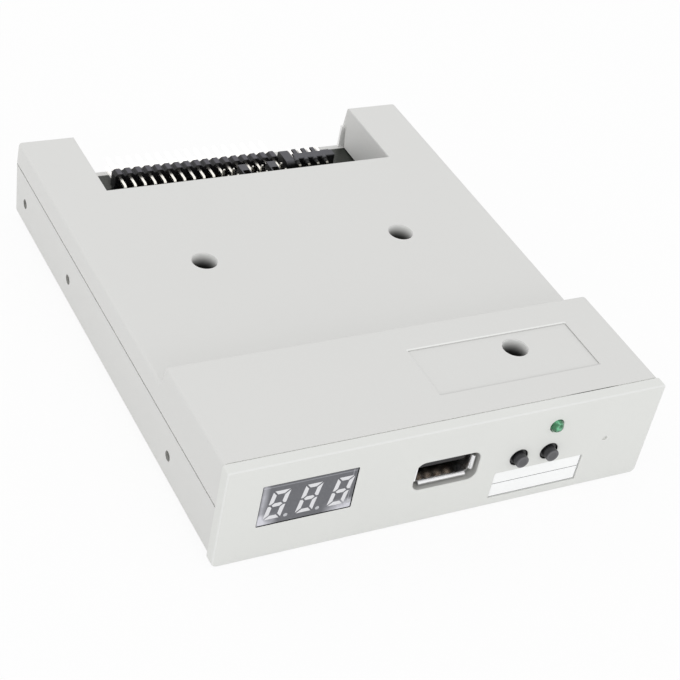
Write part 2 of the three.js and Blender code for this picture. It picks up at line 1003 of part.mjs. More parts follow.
// Pins. An elbow pin lies along Y at a level, then bends down through the board.
function elbowPin(x, { level, end, leg, foot, width = pinWidth, taper = pinTaper }) {
  const half = width / 2;
  const turn = Math.sign(end - leg);
  const corners = [
    [leg - turn * half, foot],
    [leg + turn * half, foot],
    [leg + turn * half, level - half],
    [end - turn * taper, level - half],
    [end, level - half / 2],
    [end, level + half / 2],
    [end - turn * taper, level + half],
    [leg - turn * (half - pinBend), level + half],
    [leg - turn * half, level + half - pinBend],
  ];
  return alongX(outline(turn > 0 ? corners : corners.reverse()), x - half, x + half);
}

function straightPin(x, y, foot, top) {
  const r = pinWidth / Math.SQRT2;
  const profile = [
    [0, foot],
    [r, foot],
    [r, top - pinTaper],
    [r / 2, top],
    [0, top],
  ];
  return turned(profile, squareSides).rotateZ(Math.PI / 4).translate(x, y, 0);
}

// Header plastic made of chamfered units, drawn in its front view
function unitStrip(count, middle, height, chamfer) {
  const places = row(count, pitch, middle);
  const half = pitch / 2;
  const lower = places.flatMap((x) => [
    [x - half + chamfer, 0],
    [x + half - chamfer, 0],
    [x + half, chamfer],
  ]);
  const upper = places.toReversed().flatMap((x) => [
    [x + half - chamfer, height],
    [x - half + chamfer, height],
    [x - half, height - chamfer],
  ]);
  const first = [places[0] - half, chamfer];
  const last = [places.at(-1) + half, height - chamfer];
  return outline([first, ...lower, last, ...upper]);
}

const tailFoot = -board.thickness - tailLength;

function diskHeaderShape() {
  const h = diskHeader;
  const plastic = alongY(unitStrip(h.columns, h.x, 2 * pitch, h.chamfer), headerFront, headerRear);
  const [lower, upper] = row(2, pitch, pitch);
  const pins = row(h.columns, pitch, h.x).flatMap((x) => [
    elbowPin(x, { level: upper, end: headerPinEnd, leg: headerFront - h.upperLegReach, foot: tailFoot }),
    elbowPin(x, { level: lower, end: headerPinEnd, leg: headerFront - h.lowerLegReach, foot: tailFoot }),
  ]);
  return join(plastic, ...pins).translate(0, 0, contact);
}

function jumperRows() {
  return row(2, pitch, jumperY);
}

function jumperHeaderShape() {
  const h = jumperHeader;
  const plastic = alongY(unitStrip(h.columns, h.x, h.height, h.chamfer), jumperY - pitch, jumperY + pitch);
  const pins = row(h.columns, pitch, h.x).flatMap((x) =>
    jumperRows().map((y) => straightPin(x, y, tailFoot, h.pinTop)),
  );
  return join(plastic, ...pins).translate(0, 0, contact);
}

// Jumper cap, drawn from the middle of its base
function jumperCapShape() {
  const c = jumperCap;
  const body = alongZ(
    rectangle(-c.width / 2, c.width / 2, -c.length / 2, c.length / 2, c.radius),
    0,
    c.height,
    fineSteps,
  );
  const hole = c.holeWidth / 2;
  const mouth = c.mouthWidth / 2;
  const holes = row(2, pitch).flatMap((y) => [
    block([-hole, hole], [y - hole, y + hole], [-overrun, c.height + overrun]),
    block([-mouth, mouth], [y - mouth, y + mouth], [c.height - c.mouthDepth, c.height + overrun]),
  ]);
  return cut(body, ...holes);
}

function powerConnectorShape() {
  const p = power;
  const rear = powerFront + p.length;
  const outer = p.cheekInner + p.cheekWidth;
  const across = [p.x - outer, p.x + outer];
  const wall = block(across, [powerFront, powerFront + p.wallThickness], [0, p.wallTop]);
  const floor = block(across, [powerFront, rear], [p.floorLevel, p.floorLevel + p.floorThickness]);
  const cheek = (side, top) =>
    alongX(
      outline([
        [powerFront, 0],
        [rear, 0],
        [rear, top - p.cheekChamfer],
        [rear - p.cheekChamfer, top],
        [powerFront, top],
      ]),
      ...[p.x + side * p.cheekInner, p.x + side * outer].sort((a, b) => a - b),
    );
  const half = p.fingerWidth / 2;
  const fingers = row(p.pins - 1, pitch, p.x).map((x) =>
    block([x - half, x + half], [powerFront, powerFront + p.fingerLength], [p.floorLevel, p.fingerTop]),
  );
  const pins = row(p.pins, pitch, p.x).map((x) =>
    elbowPin(x, { level: p.pinLevel, end: powerFront + p.pinLength, leg: powerLegY, foot: tailFoot }),
  );
  const arches = row(p.pins, pitch, p.x).map((x) =>
    rodY(x, p.pinLevel, powerFront - overrun, powerFront + p.archDepth, p.archRadius),
  );
  const cheeks = [cheek(-1, p.cheekTop), cheek(1, p.rightCheekTop)];
  const plastic = cut(join(wall, floor, ...cheeks, ...fingers), ...arches);
  return join(plastic, ...pins).translate(0, 0, contact);
}

// USB socket
function usbOutline(inset) {
  const halfWidth = usb.shellWidth / 2 - inset;
  const halfHeight = usb.shellHeight / 2 - inset;
  const radius = Math.max(usb.shellRadius - inset, 0);
  return rectangle(-halfWidth, halfWidth, -halfHeight, halfHeight, radius);
}

// A box along Y whose front end is grown sideways and upwards by a reach
function flaredBlock(halfWidth, halfHeight, length, reach) {
  const box = new THREE.BoxGeometry(2 * halfWidth, length, 2 * halfHeight);
  const points = box.attributes.position;
  for (let i = 0; i < points.count; i += 1) {
    if (points.getY(i) > 0) continue;
    points.setX(i, points.getX(i) + Math.sign(points.getX(i)) * reach);
    points.setZ(i, points.getZ(i) + Math.sign(points.getZ(i)) * reach);
  }
  return box.translate(0, length / 2, 0);
}

function usbShellShape() {
  const u = usb;
  const halfWidth = u.shellWidth / 2;
  const halfHeight = u.shellHeight / 2;
  const tube = alongY(usbOutline(0), 0, u.shellLength);
  const bore = alongY(usbOutline(u.metal), -overrun, u.shellLength + overrun);
  const flare = flaredBlock(halfWidth, halfHeight, u.flareLength, u.flareReach);
  const flareBore = flaredBlock(halfWidth - u.metal, halfHeight - u.metal, u.flareLength, u.flareReach);
  const flareOnly = cut(
    flare,
    ...sides.flatMap((a) =>
      sides.map((b) => {
        const size = 2 * u.shellRadius;
        return block(
          [a * halfWidth - size, a * halfWidth + size],
          [-overrun, u.flareLength],
          [b * halfHeight - size, b * halfHeight + size],
        );
      }),
    ),
  );
  const tabTop = halfHeight - u.metal / 2;
  const tabLow = u.tongueLift + contact;
  const rearTab = block(
    [-halfWidth + u.shellRadius, halfWidth - u.shellRadius],
    [u.shellLength - u.metal, u.shellLength],
    [tabLow, tabTop],
  );
  const legTop = -halfHeight + u.shellRadius;
  const legs = sides.flatMap((side) => {
    const ends = [side * halfWidth, side * (halfWidth - u.metal)].sort((a, b) => a - b);
    const wide = u.legLength / 2;
    const slim = u.legTailLength / 2;
    const down = board.top - u.level;
    return [
      block(ends, [u.legY - wide, u.legY + wide], [down + contact, legTop]),
      block(ends, [u.legY - slim, u.legY + slim], [down + tailFoot, legTop]),
    ];
  });
  const slots = sides.flatMap((side) =>
    sides.map((b) => {
      const half = u.springWidth / 2;
      const outer = half + u.springSlot;
      const end = u.springY + u.springLength;
      const shape = outline([
        [-outer, u.springY],
        [outer, u.springY],
        [outer, end],
        [half, end],
        [half, u.springY + u.springSlot],
        [-half, u.springY + u.springSlot],
        [-half, end],
        [-outer, end],
      ]);
      const levels = [b * (halfHeight + overrun), b * (halfHeight - overrun)].sort((x, y) => x - y);
      return alongZ(shape, ...levels).translate(side * u.springX, 0, 0);
    }),
  );
  return cut(join(cut(join(tube, flareOnly), bore, flareBore), rearTab, ...legs), ...slots);
}

function usbTongueShape() {
  const u = usb;
  const low = u.tongueLift;
  const inside = u.metal + contact;
  const halfWidth = u.shellWidth / 2 - inside;
  const halfHeight = u.shellHeight / 2 - inside;
  const blockRear = u.shellLength - inside;
  const tongue = alongX(
    outline([
      [u.tongueSetback, low],
      [blockRear - u.blockDepth / 2, low],
      [blockRear - u.blockDepth / 2, low + u.tongueHeight],
      [u.tongueSetback + u.metal, low + u.tongueHeight],
      [u.tongueSetback, low + u.tongueHeight - u.metal],
    ]),
    -u.tongueWidth / 2,
    u.tongueWidth / 2,
  );
  const plug = alongY(
    rectangle(-halfWidth, halfWidth, -halfHeight, halfHeight, u.metal),
    blockRear - u.blockDepth,
    blockRear,
  );
  const channels = row(u.contacts, u.contactPitch).map((x) => {
    const half = u.contactWidth / 2 + contact;
    const along = [blockRear - u.blockDepth - overrun, blockRear + overrun];
    return block([x - half, x + half], along, [-halfHeight - overrun, low]);
  });
  return cut(join(tongue, plug), ...channels);
}

// One contact spring: it lies under the tongue, bulges down where the plug meets it, and ends in the board
function usbContactShape() {
  const u = usb;
  const high = u.tongueLift - contact;
  const low = high - u.contactThickness;
  const start = u.tongueSetback + u.contactSetback;
  const bulgeEnd = start + u.contactBulgeLength;
  const bulgeMiddle = (start + bulgeEnd) / 2;
  const tail = u.tailY - u.mouth;
  const foot = board.top - u.level + tailFoot;
  return alongX(
    outline([
      [start, low],
      [bulgeMiddle, low - u.contactBulge, u.contactBulge],
      [bulgeEnd, low],
      [tail - u.contactThickness, low],
      [tail - u.contactThickness, foot],
      [tail, foot],
      [tail, high, u.contactThickness],
      [start, high],
    ]),
    -u.contactWidth / 2,
    u.contactWidth / 2,
    arcSteps,
  );
}

// Display. Outlines of one figure's seven bars and its point, each set in by a clearance, leaning right.
function figureOutlines(inset) {
  const d = display;
  const w = d.digitWidth / 2;
  const h = d.digitHeight / 2;
  const s = d.stroke;
  const gap = d.mitreGap / Math.SQRT2 + inset * Math.SQRT2;
  const reach = (depth) => w - depth - gap;
  const top = [
    [-reach(inset), h - inset],
    [reach(inset), h - inset],
    [reach(s - inset), h - s + inset],
    [-reach(s - inset), h - s + inset],
  ];
  const upright = [
    [w - inset, h - inset - gap],
    [w - inset, gap],
    [w - s / 2, gap],
    [w - s + inset, s / 2 + gap],
    [w - s + inset, h - s + inset - gap],
  ];
  const middle = [
    [-w + s / 2 + gap, 0],
    [-w + s + gap, -s / 2 + inset],
    [w - s - gap, -s / 2 + inset],
    [w - s / 2 - gap, 0],
    [w - s - gap, s / 2 - inset],
    [-w + s + gap, s / 2 - inset],
  ];
  const flipX = (points) => points.map(([x, z]) => [-x, z]);
  const flipZ = (points) => points.map(([x, z]) => [x, -z]);
  const bars = [top, flipZ(top), upright, flipX(upright), flipZ(upright), flipX(flipZ(upright)), middle];
  return bars.map((points) => outline(points.map(([x, z]) => [x + d.slantShare * z, z])));
}

function figures(inset, from, to) {
  const d = display;
  return row(d.digits, d.digitPitch, d.digitX).flatMap((x) => {
    const bars = figureOutlines(inset).map((bar) => alongY(bar, from, to).translate(x, 0, d.digitLevel));
    const level = d.digitLevel - d.digitHeight / 2 + d.pointLift;
    return [...bars, rodY(x + d.pointX, level, from, to, d.pointRadius - inset, boreSides / 2)];
  });
}

function displayShellShape() {
  const d = display;
  const half = d.width / 2;
  const high = d.height / 2;
  const body = block([-half, half], [0, d.depth], [-high, high]);
  const hollow = block(
    [-half + d.wall, half - d.wall],
    [d.face, d.depth + overrun],
    [-high + d.wall, high - d.wall],
  );
  return cut(body, hollow, ...figures(0, -overrun, d.face + overrun / 2));
}

function displayResinShape() {
  const d = display;
  const half = d.width / 2 - d.wall - contact;
  const high = d.height / 2 - d.wall - contact;
  const fill = block([-half, half], [d.face + contact, d.depth - d.faceStep], [-high, high]);
  const pinSpan = [d.depth - d.wall, d.depth + d.pinLength];
  const pins = row(d.pinsPerRow, pitch).flatMap((x) =>
    sides.map((side) => rodY(x, side * d.pinRows, ...pinSpan, d.pinRadius, wireSides)),
  );
  return join(fill, ...figures(contact, d.faceStep, d.face + d.wall / 2), ...pins);
}

const displayBoardFront = display.setback + display.depth + displayBoard.gap;
const displayBoardRear = displayBoardFront + displayBoard.thickness;
const linkLevel = displayLink.level + contact;

function displayBoardShape() {
  const low = displayBoard.lift;
  const sheet = alongY(
    rectangle(-display.width / 2, display.width / 2, low, low + displayBoard.height, displayBoard.radius),
    displayBoardFront,
    displayBoardRear,
  );
  const through = [displayBoardFront - overrun, displayBoardRear + overrun];
  const moduleLevel = displayLevel - board.top;
  const holeY = (x, level, half) => block([x - half, x + half], through, [level - half, level + half]);
  const moduleHoles = row(display.pinsPerRow, pitch).flatMap((x) =>
    sides.map((side) => holeY(x, moduleLevel + side * display.pinRows, display.pinRadius + drillClearance)),
  );
  const linkHole = pinWidth / 2 + drillClearance;
  const linkHoles = row(displayLink.pins, pitch).map((x) => holeY(x, linkLevel, linkHole));
  return cut(sheet, ...linkHoles, ...moduleHoles);
}

function displayLinkShape() {
  const k = displayLink;
  const front = displayBoardRear + k.gap;
  const plastic = alongY(unitStrip(k.pins, 0, k.height, jumperHeader.chamfer), front, front + k.depth);
  const pins = row(k.pins, pitch).map((x) =>
    elbowPin(x, {
      level: k.level,
      end: displayBoardFront + contact,
      leg: front + k.depth + k.leg,
      foot: tailFoot,
      taper: contact,
    }),
  );
  return join(plastic, ...pins).translate(0, 0, contact);
}

// Buttons. The stem and the switch are drawn from the stem's axis and the bezel's front face.
function buttonStemShape() {
  const b = button;
  const collarRear = b.bodyFront - contact - b.plate - b.travel - 2 * contact;
  const flangeFront = b.bodyFront + seam;
  const flangeRear = flangeFront + b.flangeThickness;
  const profile = [
    [0, -b.proud],
    [b.stemRadius - b.stemChamfer, -b.proud],
    [b.stemRadius, -b.proud + b.stemChamfer],
    [b.stemRadius, b.collarFront],
    [b.stemRadius + b.collarReach, b.collarFront],
    [b.stemRadius + b.collarReach, collarRear],
    [b.stemRadius, collarRear],
    [b.stemRadius, flangeFront],
    [flangeRadius, flangeFront],
    [flangeRadius, flangeRear],
    [0, flangeRear],
  ];
  const points = profile.map(([r, y]) => new THREE.Vector2(r, y));
  return new THREE.LatheGeometry(points, roundSides);
}

function switchBodyShape() {
  const b = button;
  const half = b.bodySize / 2;
  const rear = b.bodyFront + b.bodyDepth;
  const body = alongY(rectangle(-half, half, -half, half, b.bodyRadius), b.bodyFront, rear, fineSteps);
  const boreEnds = [b.bodyFront - overrun, b.bodyFront + b.boreDepth];
  const bore = rodY(0, 0, ...boreEnds, flangeRadius + seam, roundSides);
  const legHalf = b.legSize / 2;
  const legY = rear - b.legSetback;
  const legs = sides.map((side) =>
    block(
      [side * b.legX - legHalf, side * b.legX + legHalf],
      [legY - legHalf, legY + legHalf],
      [board.top - b.level + tailFoot, -half + b.bodyRadius],
    ),
  );
  return join(cut(body, bore), ...legs);
}

// Steel plate that holds the stem in the switch, with two arms down to the board
function switchPlateShape() {
  const b = button;
  const half = b.bodySize / 2;
  const rear = b.bodyFront - contact;
  const front = rear - b.plate;
  const sheet = cut(
    alongY(rectangle(-half, half, -half, half, b.bodyRadius), front, rear, fineSteps),
    rodY(0, 0, front - overrun, rear + overrun, b.stemRadius + b.plateGap, boreSides),
  );
  const arms = sides.map((side) => {
    const ends = [side * half, side * (half - b.armWidth)].sort((x, y) => x - y);
    return block(ends, [front, rear], [board.top - b.level + tailFoot, -half + b.bodyRadius * 2]);
  });
  return join(sheet, ...arms);
}

// Status light, drawn from its axis and the bezel's front face
function statusLedShape() {
  const dome = Array.from({ length: led.domeSteps + 1 }, (_, i) => {
    const angle = (i / led.domeSteps) * (Math.PI / 2);
    return [led.radius * Math.sin(angle), led.radius - led.proud - led.radius * Math.cos(angle)];
  });
  const flangeFront = bezel.thickness + seam;
  const flangeRear = flangeFront + led.flangeThickness;
  const profile = [
    ...dome,
    [led.radius, flangeFront],
    [led.radius + led.flangeReach, flangeFront],
    [led.radius + led.flangeReach, flangeRear],
    [0, flangeRear],
  ];
  const lens = new THREE.LatheGeometry(
    profile.map(([r, y]) => new THREE.Vector2(Math.max(r, 0), y)),
    roundSides,
  );
  const legs = row(2, led.legSpacing).map((x) =>
    elbowPin(x, {
      level: 0,
      end: flangeFront + led.flangeThickness / 2,
      leg: led.legY,
      foot: board.top - led.level + tailFoot,
      width: led.legSize,
      taper: contact,
    }),
  );
  return join(lens, ...legs);
}

// Chips, drawn from the middle of their foot on the board
function gullLead(width, reach, height, thickness) {
  const knee = reach / 2;
  const shape = outline([
    [-knee, height / 2 - thickness],
    [knee / 2 - thickness, height / 2 - thickness],
    [knee / 2, 0],
    [reach, 0],
    [reach, thickness],
    [knee / 2 + thickness, thickness],
    [knee / 2, height / 2],
    [-knee, height / 2],
  ]);
  return alongX(shape, -width / 2, width / 2);
}

function processorShape() {
  const c = processor;
  const half = c.size / 2;
  const body = block([-half, half], [-half, half], [c.lift, c.lift + c.height]);
  const lead = gullLead(c.leadWidth, c.leadReach, c.height, c.leadThickness);
  const leads = [0, 1, 2, 3].flatMap((side) =>
    row(c.leads, c.leadPitch).map((x) => lead.clone().translate(x, half, 0).rotateZ((side * Math.PI) / 2)),
  );
  return join(body, ...leads).translate(0, 0, contact);
}

function driverChipShape() {
  const c = driverChip;
  const span = (size) => [-size / 2, size / 2];
  const body = block(span(c.length), span(c.width), [c.lift, c.lift + c.height]);
  const lead = gullLead(c.leadWidth, c.leadReach, c.height, c.leadThickness);
  const leads = [0, 1].flatMap((side) =>
    row(c.leads, c.leadPitch).map((x) => lead.clone().translate(x, c.width / 2, 0).rotateZ(side * Math.PI)),
  );
  return join(body, ...leads).translate(0, 0, contact);
}

function regulatorShape() {
  const r = regulator;
  const end = r.depth / 2 + r.leadReach;
  const thin = [0, r.leadThickness];
  const body = block([-r.width / 2, r.width / 2], [-r.depth / 2, r.depth / 2], [0, r.height]);
  const tab = block([-r.tabWidth / 2, r.tabWidth / 2], [0, end], thin);
  const leads = row(r.leads, r.leadPitch).map((x) =>
    block([x - r.leadWidth / 2, x + r.leadWidth / 2], [-end, 0], thin),
  );
  return join(body, tab, ...leads).translate(0, 0, contact);
}

function crystalShape() {
  const c = crystal;
  const can = (grow, height) => {
    const x = c.length / 2 + grow;
    const y = c.width / 2 + grow;
    return alongZ(rectangle(-x, x, -y, y, y - contact), 0, height);
  };
  return join(can(0, c.rimHeight), can(-c.rim, c.height)).translate(0, 0, contact);
}

function capacitorShape() {
  const c = capacitor;
  const half = c.baseSize / 2;
  const base = alongZ(
    outline([
      [-half, -half],
      [half, -half],
      [half, half - c.chamfer],
      [half - c.chamfer, half],
      [-half + c.chamfer, half],
      [-half, half - c.chamfer],
    ]),
    0,
    c.baseHeight,
  );
  const can = turned([
    [0, c.baseHeight / 2],
    [c.radius, c.baseHeight / 2],
    [c.radius, c.grooveLevel],
    [c.radius - c.groove, c.grooveLevel + c.grooveHeight / 2],
    [c.radius, c.grooveLevel + c.grooveHeight],
    [c.radius, c.height - c.groove],
    [c.radius - c.groove, c.height],
    [0, c.height],
  ]);
  return join(base, can).translate(0, 0, contact);
}

// Main board with its drilled holes
function mainBoard() {
  const b = board;
  const shoulder = bayFront - b.shoulderGap;
  const plan = [
    [boardHalfWidth, b.front, b.cornerRadius],
    [boardHalfWidth, shoulder, b.cornerRadius],
    [boardTailHalf, shoulder],
    [boardTailHalf, boardRear, b.cornerRadius],
  ];
  const mirrored = plan.toReversed().map(([x, y, ...radius]) => [-x, y, ...radius]);
  const sheet = alongZ(outline([...plan, ...mirrored]), -b.thickness, 0, fineSteps);
  const through = [-b.thickness - overrun, overrun];
  const drill = (x, y, half) => block([x - half, x + half], [y - half, y + half], through);
  const pinHole = pinWidth / 2 + drillClearance;
  const legHole = led.legSize / 2 + drillClearance;
  const screwHole = screw.shankRadius + seam;
  const screwHoles = Object.values(screwPlaces).map(({ x, y }) => rodZ(x, y, ...through, screwHole));
  const headerHoles = row(diskHeader.columns, pitch, diskHeader.x).flatMap((x) => [
    drill(x, headerFront - diskHeader.upperLegReach, pinHole),
    drill(x, headerFront - diskHeader.lowerLegReach, pinHole),
  ]);
  const jumperHoles = row(jumperHeader.columns, pitch, jumperHeader.x).flatMap((x) =>
    jumperRows().map((y) => drill(x, y, pinHole)),
  );
  const powerHoles = row(power.pins, pitch, power.x).map((x) => drill(x, powerLegY, pinHole));
  const linkLeg = displayBoardRear + displayLink.gap + displayLink.depth + displayLink.leg;
  const linkHoles = row(displayLink.pins, pitch, display.x).map((x) => drill(x, linkLeg, pinHole));
  const ledHoles = row(2, led.legSpacing, led.x).map((x) => drill(x, led.legY, legHole));
  const contactHole = usb.contactWidth / 2 + drillClearance;
  const usbTail = usb.tailY - usb.contactThickness / 2;
  const usbHoles = row(usb.contacts, usb.contactPitch, usb.x).map((x) => drill(x, usbTail, contactHole));
  const legSlots = sides.map((side) => {
    const x = usb.x + side * (usb.shellWidth / 2 - usb.metal / 2);
    const halfX = usb.metal / 2 + drillClearance;
    const halfY = usb.legTailLength / 2 + drillClearance;
    const y = usb.mouth + usb.legY;
    return block([x - halfX, x + halfX], [y - halfY, y + halfY], through);
  });
  const switchHoles = [button.leftX, button.rightX].flatMap((middle) =>
    sides.flatMap((side) => {
      const legY = button.bodyFront + button.bodyDepth - button.legSetback;
      const armMiddle = middle + side * (button.bodySize / 2 - button.armWidth / 2);
      const armHalf = button.armWidth / 2 + drillClearance;
      const armY = button.bodyFront - contact - button.plate / 2;
      const armDepth = button.plate / 2 + drillClearance;
      return [
        drill(middle + side * button.legX, legY, legHole),
        block([armMiddle - armHalf, armMiddle + armHalf], [b.front - overrun, armY + armDepth], through),
      ];
    }),
  );
  return cut(
    sheet,
    ...screwHoles,
    rodZ(locator.x, locator.y, ...through, locator.hole),
    ...headerHoles,
    ...jumperHoles,
    ...powerHoles,
    ...linkHoles,
    ...ledHoles,
    ...usbHoles,
    ...legSlots,
    ...switchHoles,
  );
}

// Assembly
const assembly = new THREE.Group();
const fromFront = new THREE.Group(); // everything, drawn from the bezel's front face
fromFront.position.y = -(drive.depth - button.proud) / 2;
assembly.add(fromFront);

fromFront.add(piece("bottom_case", bottomCase(), finish.casePlastic));
fromFront.add(piece("top_cover", topCover(), finish.casePlastic));
fromFront.add(piece("front_bezel", frontBezel(), finish.bezelPlastic));
fromFront.add(piece("button_label", buttonLabel(), finish.paper));
for (const [name, { x, y }] of Object.entries(screwPlaces)) {
  fromFront.add(placed(piece(`case_screw_${name}`, caseScrew(), finish.steel), x, y, wellSeat + contact));
}

const onBoard = new THREE.Group(); // what stands on the board, drawn from its top face
onBoard.position.z = board.top;
fromFront.add(onBoard);
onBoard.add(piece("main_board", mainBoard(), finish.boardMask));
onBoard.add(piece("disk_header", diskHeaderShape(), finish.blackPlastic));
onBoard.add(piece("jumper_header", jumperHeaderShape(), finish.blackPlastic));
onBoard.add(piece("power_connector", powerConnectorShape(), finish.capPlastic));
const capLevel = jumperHeader.height + 2 * contact;
const jumperColumns = row(jumperHeader.columns, pitch, jumperHeader.x);
for (const [name, column] of [
  ["jumper_cap_left", jumperCap.leftColumn],
  ["jumper_cap_right", jumperCap.rightColumn],
]) {
  const cap = piece(name, jumperCapShape(), finish.capPlastic);
  onBoard.add(placed(cap, jumperColumns[column], jumperY, capLevel));
}
onBoard.add(placed(piece("processor_chip", processorShape(), finish.chip), processor.x, processor.y, 0));
onBoard.add(placed(piece("driver_chip", driverChipShape(), finish.chip), driverChip.x, driverChip.y, 0));
onBoard.add(placed(piece("voltage_regulator", regulatorShape(), finish.chip), regulator.x, regulator.y, 0));
onBoard.add(placed(piece("clock_crystal", crystalShape(), finish.steel), crystal.x, crystal.y, 0));
row(2, capacitor.spacing, capacitor.x).forEach((x, i) => {
  const can = piece(`filter_capacitor_${i + 1}`, capacitorShape(), finish.steel);
  onBoard.add(placed(can, x, capacitor.y, 0));
});
onBoard.add(placed(piece("display_board", displayBoardShape(), finish.boardMask), display.x, 0, 0));
onBoard.add(placed(piece("display_link", displayLinkShape(), finish.blackPlastic), display.x, 0, 0));

const displayModule = new THREE.Group();
displayModule.position.set(display.x, display.setback, displayLevel);
displayModule.add(piece("display_shell", displayShellShape(), finish.displayFace));
displayModule.add(piece("display_resin", displayResinShape(), finish.resin));
fromFront.add(displayModule);

const usbSocket = new THREE.Group();
usbSocket.position.set(usb.x, usb.mouth, usb.level);
usbSocket.add(piece("usb_shell", usbShellShape(), finish.steel));
usbSocket.add(piece("usb_tongue", usbTongueShape(), finish.blackPlastic));
row(usb.contacts, usb.contactPitch).forEach((x, i) => {
  usbSocket.add(placed(piece(`usb_contact_${i + 1}`, usbContactShape(), finish.gold), x, 0, 0));
});
fromFront.add(usbSocket);

for (const [name, x] of [
  ["left", button.leftX],
  ["right", button.rightX],
]) {
  const key = new THREE.Group();
  key.position.set(x, 0, button.level);
  key.add(piece(`${name}_button_stem`, buttonStemShape(), finish.blackPlastic));
  key.add(piece(`${name}_switch_body`, switchBodyShape(), finish.blackPlastic));
  key.add(piece(`${name}_switch_plate`, switchPlateShape(), finish.steel));
  fromFront.add(key);
}
fromFront.add(placed(piece("status_led", statusLedShape(), finish.greenLens), led.x, 0, led.level));

export default assembly;
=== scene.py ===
from math import cos, pi, radians, sin, sqrt, tan

import bmesh
import bpy
from mathutils import Euler, Matrix, Vector


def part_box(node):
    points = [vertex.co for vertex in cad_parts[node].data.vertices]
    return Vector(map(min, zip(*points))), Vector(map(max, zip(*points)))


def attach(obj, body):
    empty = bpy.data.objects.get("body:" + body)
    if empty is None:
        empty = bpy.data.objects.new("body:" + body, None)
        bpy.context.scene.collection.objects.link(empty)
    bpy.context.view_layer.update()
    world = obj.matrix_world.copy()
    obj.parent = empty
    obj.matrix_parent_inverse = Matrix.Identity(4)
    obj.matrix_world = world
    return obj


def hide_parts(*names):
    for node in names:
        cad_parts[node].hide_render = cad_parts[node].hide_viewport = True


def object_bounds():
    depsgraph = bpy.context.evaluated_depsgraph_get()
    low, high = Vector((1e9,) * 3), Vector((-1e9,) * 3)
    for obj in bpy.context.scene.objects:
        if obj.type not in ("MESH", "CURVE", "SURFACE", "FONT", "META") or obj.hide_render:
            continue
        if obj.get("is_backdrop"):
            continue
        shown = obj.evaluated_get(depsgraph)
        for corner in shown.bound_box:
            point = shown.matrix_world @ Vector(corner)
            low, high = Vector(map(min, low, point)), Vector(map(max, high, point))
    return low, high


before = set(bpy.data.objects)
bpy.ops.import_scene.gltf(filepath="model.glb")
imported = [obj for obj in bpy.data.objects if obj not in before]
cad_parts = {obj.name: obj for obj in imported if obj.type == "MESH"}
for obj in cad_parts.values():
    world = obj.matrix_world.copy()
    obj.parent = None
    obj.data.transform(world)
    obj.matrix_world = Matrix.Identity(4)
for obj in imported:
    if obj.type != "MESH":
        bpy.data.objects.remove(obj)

cad_low, cad_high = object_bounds()
mm = 0.001
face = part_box("front_bezel")[0].y  # the bezel's front face, from which all depths are taken


# The picture: a plain white sweep under large soft lamps, seen from the front left and from above,
# with the camera rolled a little to the right.
class Link:
    """A shader value. Sums and products with numbers or other links add Math nodes."""

    def __init__(self, nodes, socket):
        self.nodes = nodes
        self.socket = socket

    def worked(self, operation, first, second):
        return self.nodes.add("ShaderNodeMath", {"operation": operation}, {0: first, 1: second})

    def __add__(self, other):
        return self.worked("ADD", self, other)

    def __sub__(self, other):
        return self.worked("SUBTRACT", self, other)

    def __rsub__(self, other):
        return self.worked("SUBTRACT", other, self)

    def __mul__(self, other):
        return self.worked("MULTIPLY", self, other)

    __radd__ = __add__
    __rmul__ = __mul__


class Nodes:
    """The nodes of a material or of the world."""

    def __init__(self, owner):
        owner.use_nodes = True
        self.tree = owner.node_tree

    def join(self, value, socket):
        if isinstance(value, Link):
            self.tree.links.new(value.socket, socket)
        else:
            socket.default_value = value

    def add(self, kind, settings=None, sockets=None, output=0):
        node = self.tree.nodes.new(kind)
        for name, value in (settings or {}).items():
            setattr(node, name, value)
        for name, value in (sockets or {}).items():
            self.join(value, node.inputs[name])
        return Link(self, node.outputs[output])

    def seen_directly(self):
        """1 for rays of the camera, of mirrors and of clear glass, and 0 for light on things."""
        unseen = 1
        for ray in ("Is Camera Ray", "Is Glossy Ray", "Is Transmission Ray"):
            unseen = (1 - self.add("ShaderNodeLightPath", output=ray)) * unseen
        return 1 - unseen


camera_place = Vector((-171.71 * mm, face - 204.12 * mm, 242.73 * mm))
camera_turn = Euler([radians(angle) for angle in (51.88, -10.06, -26.38)])
camera_lens = 91.7
nearest_seen = 10 * mm
camera = bpy.data.objects.new("camera", bpy.data.cameras.new("camera"))
camera.location = camera_place
camera.rotation_euler = camera_turn
camera.data.lens = camera_lens
camera.data.clip_start = nearest_seen
bpy.context.collection.objects.link(camera)
bpy.context.scene.camera = camera
bpy.context.scene.view_settings.view_transform = "Standard"

ambient = 0.915
world = bpy.data.worlds.new("studio")
bpy.context.scene.world = world
sky = Nodes(world)
seen = sky.seen_directly()
backdrop = sky.tree.nodes["Background"].inputs
sky.join((1, 1, 1, 1), backdrop["Color"])
sky.join(ambient + (1 - ambient) * seen, backdrop["Strength"])

aim = Vector((0, 0, 12 * mm))
for name, place, size, power in (
    ("front_lamp", (0, -750, 250), 380, 0.55),
    ("left_lamp", (-700, 150, 350), 380, 0.32),
    ("rear_lamp", (0, 420, 420), 300, 0.1),
):
    lamp = bpy.data.lights.new(name, "AREA")
    lamp.size = size * mm
    lamp.energy = power
    holder = bpy.data.objects.new(name, lamp)
    holder.location = Vector(place) * mm
    holder.rotation_euler = (aim - holder.location).to_track_quat("-Z", "Y").to_euler()
    bpy.context.collection.objects.link(holder)

